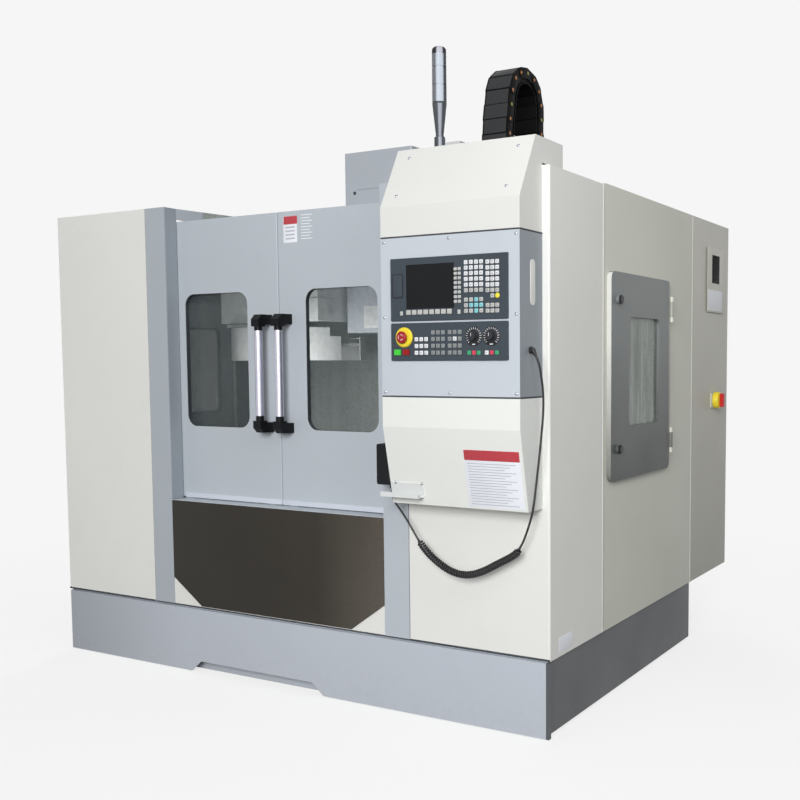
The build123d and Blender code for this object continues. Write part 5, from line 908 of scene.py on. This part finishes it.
def panel_screws():
    """Domed screws where the photograph shows them: on the station's box and hood, and over the tray."""
    face = [(x, BOX_Y, z) for z in (1583, 1345, 1107) for x in (618, 862, 1098) if (x, z) != (862, 1345)]
    hood = [(661, -60.6, 1857.7), (1060, -61, 1857), (656, -129.3, 1728.2), (1055, -129.4, 1728)]
    tray = [(629, -111.2, 812), (730, -111.2, 812)]
    piece("panel_screws", gathered(
        fronted(button_screw(), face), repeated(button_screw(), spots(HOOD_SLOPE, hood)),
        repeated(button_screw(0.005), spots(LOWER_SLOPE, tray)),
    ), fastener)


# Plates, seams and bare cards, on the faces whose planes are named here

BOX_FOOT = 996
BOX_JOINTS = (1597.0, 1094.0)
DOOR_Y, HEAD_Y = 64, 690
SIDE_X, CABINET_X, BOX_X = 1135, 1141, 1110


def plate(width, height, facing_to, place, thick=0.4, corner=2.0):
    """Thin tablet at a drawing point, facing one way; its sizes in millimetres."""
    corner = min(corner, width / 2.2, height / 2.2) / 1000
    shape = tablet(width / 1000, height / 1000, thick / 1000, corner, thick / 4000, 0, 4)
    return repeated(shape, spots(facing_to, place))


def lower_plate(width, height, x, z, **more):
    """Plate on the station's lower box, whose front slopes back from the box's foot."""
    y = BOX_Y + (BOX_FOOT - z) * LOWER_BACK / LOWER_TALL
    return plate(width, height, LOWER_SLOPE, (x, y, z), **more)


def cards():
    """Cards left bare, or with plain bars, on the faces that carry them."""
    white = plain_card("card_white", tone(240, 243, 250))
    red = plain_card("card_red", tone(188, 60, 70))
    pale = plain_card("card_pale", tone(214, 216, 214))
    bars = plain_card("card_bars", tone(184, 188, 196))
    piece("notice_card", lower_plate(199, 186, 999.5, 838, corner=3), white)
    piece("notice_band", lower_plate(197, 33, 999.5, 914.5, thick=0.7), red)
    piece("notice_bars", gathered(*[
        lower_plate(172 - 20 * (row % 3), 2.4, 996.0 - 10 * (row % 3), z, thick=0.6)
        for row, z in enumerate(np.linspace(888, 758, 16))
    ]), bars)
    door = "right_sliding_door"
    piece("door_card", plate(64, 95, TO_FRONT, (52, DOOR_Y, 1685)), white, door)
    piece("door_card_band", plate(63, 29, TO_FRONT, (53.5, DOOR_Y, 1717.5), 0.7), red, door)
    piece("door_card_beside", gathered(*[
        plate(52 - 10 * (row % 2), 3.0, TO_FRONT, (128 - 5 * (row % 2), DOOR_Y, z))
        for row, z in enumerate(np.linspace(1732, 1648, 9))
    ]), white, door)
    piece("door_card_bars", gathered(*[
        plate(44, 5.0, TO_FRONT, (52, DOOR_Y, z), 0.6) for z in np.linspace(1692, 1652, 4)
    ]), bars, door)
    piece("cabinet_card", plate(199, 90, TO_RIGHT, (CABINET_X + 1.5, 1633.5, 1469)), white)
    piece("corner_plate", plate(96, 50, TO_RIGHT, (SIDE_X, 113, 292)), white)
    piece("head_card", plate(73, 93, TO_FRONT, (-53.5, HEAD_Y, 1393.5)), pale, "head")
    piece("head_card_bars", gathered(*[
        plate(52, 2.4, TO_FRONT, (-54, HEAD_Y, z), 0.7) for z in np.linspace(1426, 1362, 8)
    ]), bars, "head")


def seams_and_plates():
    """Dark joints of the station's boxes and over the plinth, proud strips at the side, and small plates."""
    seams = [plate(504, 5, TO_FRONT, (858, BOX_Y, z), 0.6) for z in BOX_JOINTS]
    seams += [plate(148, 5, TO_RIGHT, (BOX_X, -74, z), 0.6) for z in BOX_JOINTS]
    seams += [plate(width, 7, TO_FRONT, (x, 0, 257.5), 0.6) for width, x in ((512, -879), (532, 869))]
    seams += [plate(1224, 5, TO_FRONT, (-10, 3, 256.5), 3.6)]
    piece("station_seams", gathered(*seams), seam_dark)
    strips = [plate(10, 1552, TO_RIGHT, (SIDE_X, y, 1030), 2) for y in (412, 1343)]
    piece("side_strips", gathered(*strips), strip_paint)
    piece("plinth_recess", plate(860, 49, TO_FRONT, (-150, 42, 25.5), 1.5), plinth_paint)
    piece("head_cover_seam", plate(114, 2.6, TO_FRONT, (-60, HEAD_Y, 1927.5), 0.5), seam_light, "head")
    piece("head_cover_screw", fronted(button_screw(0.0075), (-129.4, HEAD_Y, 1915)), seam_dark, "head")
    piece("box_side_slot", plate(32, 139, TO_RIGHT, (BOX_X, -66, 1443.5), 1.2, 15), hood_paint)
    piece("unit_slot_rim", plate(40, 75, TO_FRONT, (674.5, KEY_TOP, 1443), 0.7, 6), button_black)
    piece("unit_slot_cover", plate(34, 69, TO_FRONT, (674.5, KEY_TOP, 1443), 1.6, 5), unit_plastic)


def door_lips():
    """Pale lip along each sliding door's foot, its pale colour a painted highlight along the door's lower
    edge.
    """
    for side, x in (("left", -258.5), ("right", 238.5)):
        lip = plate(493, 19, TO_FRONT, (x, DOOR_Y, 684), 2.5)
        piece(f"{side}_door_lip", lip, highlight_lip_paint, f"{side}_sliding_door")


def vent_grille():
    """Vent on the cabinet's side: a black panel with slats, each a thin tablet, in a painted plate."""
    piece("vent_plate", plate(231, 283, TO_RIGHT, (CABINET_X, 1639.5, 1558.5), 1.5), cabinet_paint)
    panel = plate(103, 123, TO_RIGHT, (CABINET_X + 1.5, 1636.5, 1606.5), 0.8)
    slats = [plate(95, 4, TO_RIGHT, (CABINET_X + 2, 1636.5, z), 2.0) for z in np.arange(1552.0, 1664.0, 8.6)]
    piece("vent_slats", gathered(panel, *slats), grille_black)


def switch_housing():
    """Round yellow housing of the switch at the cabinet's side: its radius steps in at the front edge."""
    profile = [(0.037, 0.0), (0.037, 0.019), (0.0355, 0.0222), (0.032, 0.024), (0.002, 0.024)]
    housing = repeated(turned(profile, 40), spots(TO_RIGHT, (CABINET_X + 0.2, 1650, 1026)))
    piece("switch_housing", housing, safety_yellow, "isolator")


# Cable chain: its line gives Y and Z through the middle of its loop, its insets run in from both sides

CHAIN_LEFT, CHAIN_RIGHT = 260.0, 388.0
CHAIN_LINKS = 22
COVER_OUT, COVER_IN = 18, 40
SIDE_INSET, SIDE_STEP, PIN_INSET = 8.6, 2.4, 1.2
CHAIN_LINE = [
    (1121, 1866), (1118, 2000), (1113, 2146), (1112.6, 2210.8), (1123.9, 2275.2), (1136.1, 2340.5),
    (1147.4, 2403.6), (1189.8, 2457.6), (1249.5, 2478.6), (1316.3, 2478.7), (1369.8, 2449.8),
    (1410.4, 2398.4), (1414.2, 2332.2), (1414, 2268.6), (1416, 2060), (1420, 1852),
]


def on_links(first, second, third, x, points):
    """Places of one shape on every link: its three directions and its drawing point."""
    return np.stack([first, second, third, at(np.column_stack([np.full(len(points), x), points]))], axis=1)


def cable_chain():
    """Links between joints evenly spaced on the line: covers, side plates and pins, over a dark core."""
    line = np.array(CHAIN_LINE)
    joints = on_line(line, np.linspace(0, reached(line)[-1], CHAIN_LINKS + 1))
    along = np.diff(joints, axis=0)
    pitch = np.linalg.norm(along, axis=1).mean() / 1000
    along = unit(along)
    out = np.stack([-along[:, 1], along[:, 0]], -1)
    middle = (joints[1:] + joints[:-1]) / 2
    forward, away = [np.column_stack([np.zeros(CHAIN_LINKS), way]) for way in (along, out)]
    right = np.tile([1.0, 0.0, 0.0], (CHAIN_LINKS, 1))
    centre = (CHAIN_LEFT + CHAIN_RIGHT) / 2
    cover = tablet((CHAIN_RIGHT - CHAIN_LEFT - 8) / 1000, pitch - 0.002, 0.005, 0.004, 0.0015)
    outer = repeated(cover, on_links(-right, forward, away, centre, middle + out * COVER_OUT))
    inner = repeated(cover, on_links(right, forward, -away, centre, middle - out * COVER_IN))
    ends = unit(np.gradient(joints, axis=0))
    ends = np.column_stack([np.zeros(CHAIN_LINKS + 1), -ends[:, 1], ends[:, 0]])
    section = [(-0.056, -0.039), (0.056, -0.039), (0.056, 0.017), (-0.056, 0.017)]
    across = np.tile([1.0, 0.0, 0.0], (CHAIN_LINKS + 1, 1))
    core = carried(section, at(np.column_stack([np.full(CHAIN_LINKS + 1, centre), joints])), across, ends)
    side = tablet(0.048, pitch + 0.036, 0.006, 0.0235, 0.0015, 0, 8)
    pin = turned([(0.0078, 0.0), (0.0078, 0.0012), (0.006, 0.0022), (0.0002, 0.0024)], 16)
    step = np.where(np.arange(CHAIN_LINKS) % 2, 0.0, SIDE_STEP)[:, None] * right / 1000
    sides, pins = [], []
    for x, way in ((CHAIN_RIGHT, 1), (CHAIN_LEFT, -1)):
        places = on_links(away, -way * forward, way * right, x - way * SIDE_INSET, middle)
        places[:, 3] += way * step
        sides.append(repeated(side, places))
        pins.append(on_links(away, -way * forward, way * right, x - way * PIN_INSET, joints[1:]))
    pins = np.concatenate(pins)
    green = np.arange(len(pins)) % 4 == 2
    for name, shape, material in (
        ("chain_covers", outer, chain_nylon), ("chain_inner_covers", gathered(inner, core), chain_dark),
        ("chain_side_plates", gathered(*sides), chain_dark),
        ("chain_pins", repeated(pin, pins[~green]), pin_amber),
        ("chain_pins_green", repeated(pin, pins[green]), pin_lime),
    ):
        part = piece(name, shape, material, body=None)
        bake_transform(part)
        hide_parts("cable_chain")


# Folding cover: its folds, and its place and size in drawing millimetres

FOLDS, FOLD_STEPS, FOLD_DEPTH = 18, 8, 8.0
BELLOWS_LOW, BELLOWS_HIGH = 602.0, 1335.0
BELLOWS_WIDE, BELLOWS_THICK, BELLOWS_Y = 410.0, 30.0, 1203.0


def folding_cover():
    """Folding cover below the head: its outline pulls in and out as a rounded zigzag up its height."""
    z = np.linspace(BELLOWS_LOW, BELLOWS_HIGH, FOLDS * FOLD_STEPS + 1)
    share = np.abs(((z - BELLOWS_LOW) / (BELLOWS_HIGH - BELLOWS_LOW) * FOLDS) % 1 * 2 - 1)
    rows = []
    for height, inset in zip(z, FOLD_DEPTH * (share * share * (3 - 2 * share))):
        line = rounded_outline(BELLOWS_WIDE - inset, BELLOWS_THICK - inset, 3.0, 4)
        x, y = line[:, 0] - 10.0, line[:, 1] + BELLOWS_Y + inset / 2
        rows.append(at(np.column_stack([x, y, np.full(len(line), height)])))
    shape = capped(np.array(rows))
    cover = piece("folding_cover", shape, bellows_cloth, body=None, smooth=70)
    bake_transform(cover)
    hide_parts("column_bellows")


for build in (
    station_keys, dial_scales, turning_arrows, panel_screws, cards, seams_and_plates, door_lips,
    vent_grille, switch_housing, cable_chain, folding_cover,
):
    build()

# Floor, backdrop and light; the floor's fade is in tens of metres from the machine

PALE = tone(246, 246, 246)[0]
ROOM = 0.3
FLOOR_TONE = 0.22
FLOOR_GLOW = 0.75
FLOOR_HALF = 60
FADE_NEAR, FADE_FAR = 0.16, 0.36


def seen_directly(nodes, links):
    """1 for what the camera, gloss and glass see, else 0."""
    path = nodes.new("ShaderNodeLightPath")
    seen = path.outputs["Is Camera Ray"]
    for kind in ("Is Glossy Ray", "Is Transmission Ray"):
        add = nodes.new("ShaderNodeMath")
        add.operation = "MAXIMUM"
        links.new(seen, add.inputs[0])
        links.new(path.outputs[kind], add.inputs[1])
        seen = add.outputs[0]
    return seen


def mixed(nodes, links, share, first, second, output):
    """Leads two shaders to the output: the first where the share is 0, the second where it is 1."""
    mix = nodes.new("ShaderNodeMixShader")
    for socket, source in zip(mix.inputs, (share, first.outputs[0], second.outputs[0])):
        links.new(source, socket)
    links.new(mix.outputs[0], nodes[output].inputs["Surface"])


def studio_floor():
    """Wide pale floor: lit and shadowed near the machine, and the backdrop's own colour farther off."""
    data = bpy.data.meshes.new("floor")
    corners = [(x * FLOOR_HALF, y * FLOOR_HALF, 0) for x, y in ((-1, -1), (1, -1), (1, 1), (-1, 1))]
    data.from_pydata(corners, [], [(0, 1, 2, 3)])
    floor = placed("floor", data)
    f = Finish("studio_floor", 0.9)
    f.colour(f.grey(f.noise(0.6, 2.0), (0.3, FLOOR_TONE - 0.005), (0.7, FLOOR_TONE + 0.005)))
    f.gloss(0.0)
    f.shader.inputs["Emission Color"].default_value = (1, 1, 1, 1)
    seen = seen_directly(f.nodes, f.links)
    f.links.new(f.maths("MULTIPLY", seen, FLOOR_GLOW), f.shader.inputs["Emission Strength"])
    glow = f.add("Emission", Strength=PALE)
    away = f.add("VectorMath", f.place, 0)
    away.operation = "LENGTH"
    fade = f.grey(f.maths("DIVIDE", away.outputs["Value"], 10.0), (FADE_NEAR, 0.0), (FADE_FAR, 1.0))
    mixed(f.nodes, f.links, f.maths("MULTIPLY", fade, seen), f.shader, glow, "Material Output")
    data.materials.append(f.material)


def studio_world():
    """Even room light; what the camera, gloss and glass see of it is the pale backdrop."""
    world = bpy.data.worlds.new("studio")
    bpy.context.scene.world = world
    world.use_nodes = True
    nodes, links = world.node_tree.nodes, world.node_tree.links
    room = nodes["Background"]
    backdrop = nodes.new("ShaderNodeBackground")
    for light, strength in ((room, ROOM), (backdrop, PALE)):
        light.inputs["Color"].default_value = (1, 1, 1, 1)
        light.inputs["Strength"].default_value = strength
    mixed(nodes, links, seen_directly(nodes, links), room, backdrop, "World Output")


def soft_light(name, place, target, size, power):
    """Square soft light at a drawing point, turned to another: its side in metres, its power in watts."""
    data = bpy.data.lights.new(name, "AREA")
    data.size = size
    data.energy = power
    light = placed(name, data)
    start, goal = Vector(at(*place)[0]), Vector(at(*target)[0])
    light.location = start
    light.rotation_euler = (start - goal).to_track_quat("Z", "Y").to_euler()
    light.visible_camera = False


studio_floor()
studio_world()
soft_light("key", (3400, -7200, 3200), (200, 0, 1000), 3.0, 505)
soft_light("side", (2700, -1100, 2400), (1135, 600, 1300), 1.2, 15)
soft_light("rear", (-3200, 7200, 3200), (0, 900, 1000), 3.0, 260)
soft_light("work_lamp", (-150, 180, 1120), (-100, 1000, 760), 0.3, 4.5)

bpy.context.scene.view_settings.view_transform = "Standard"
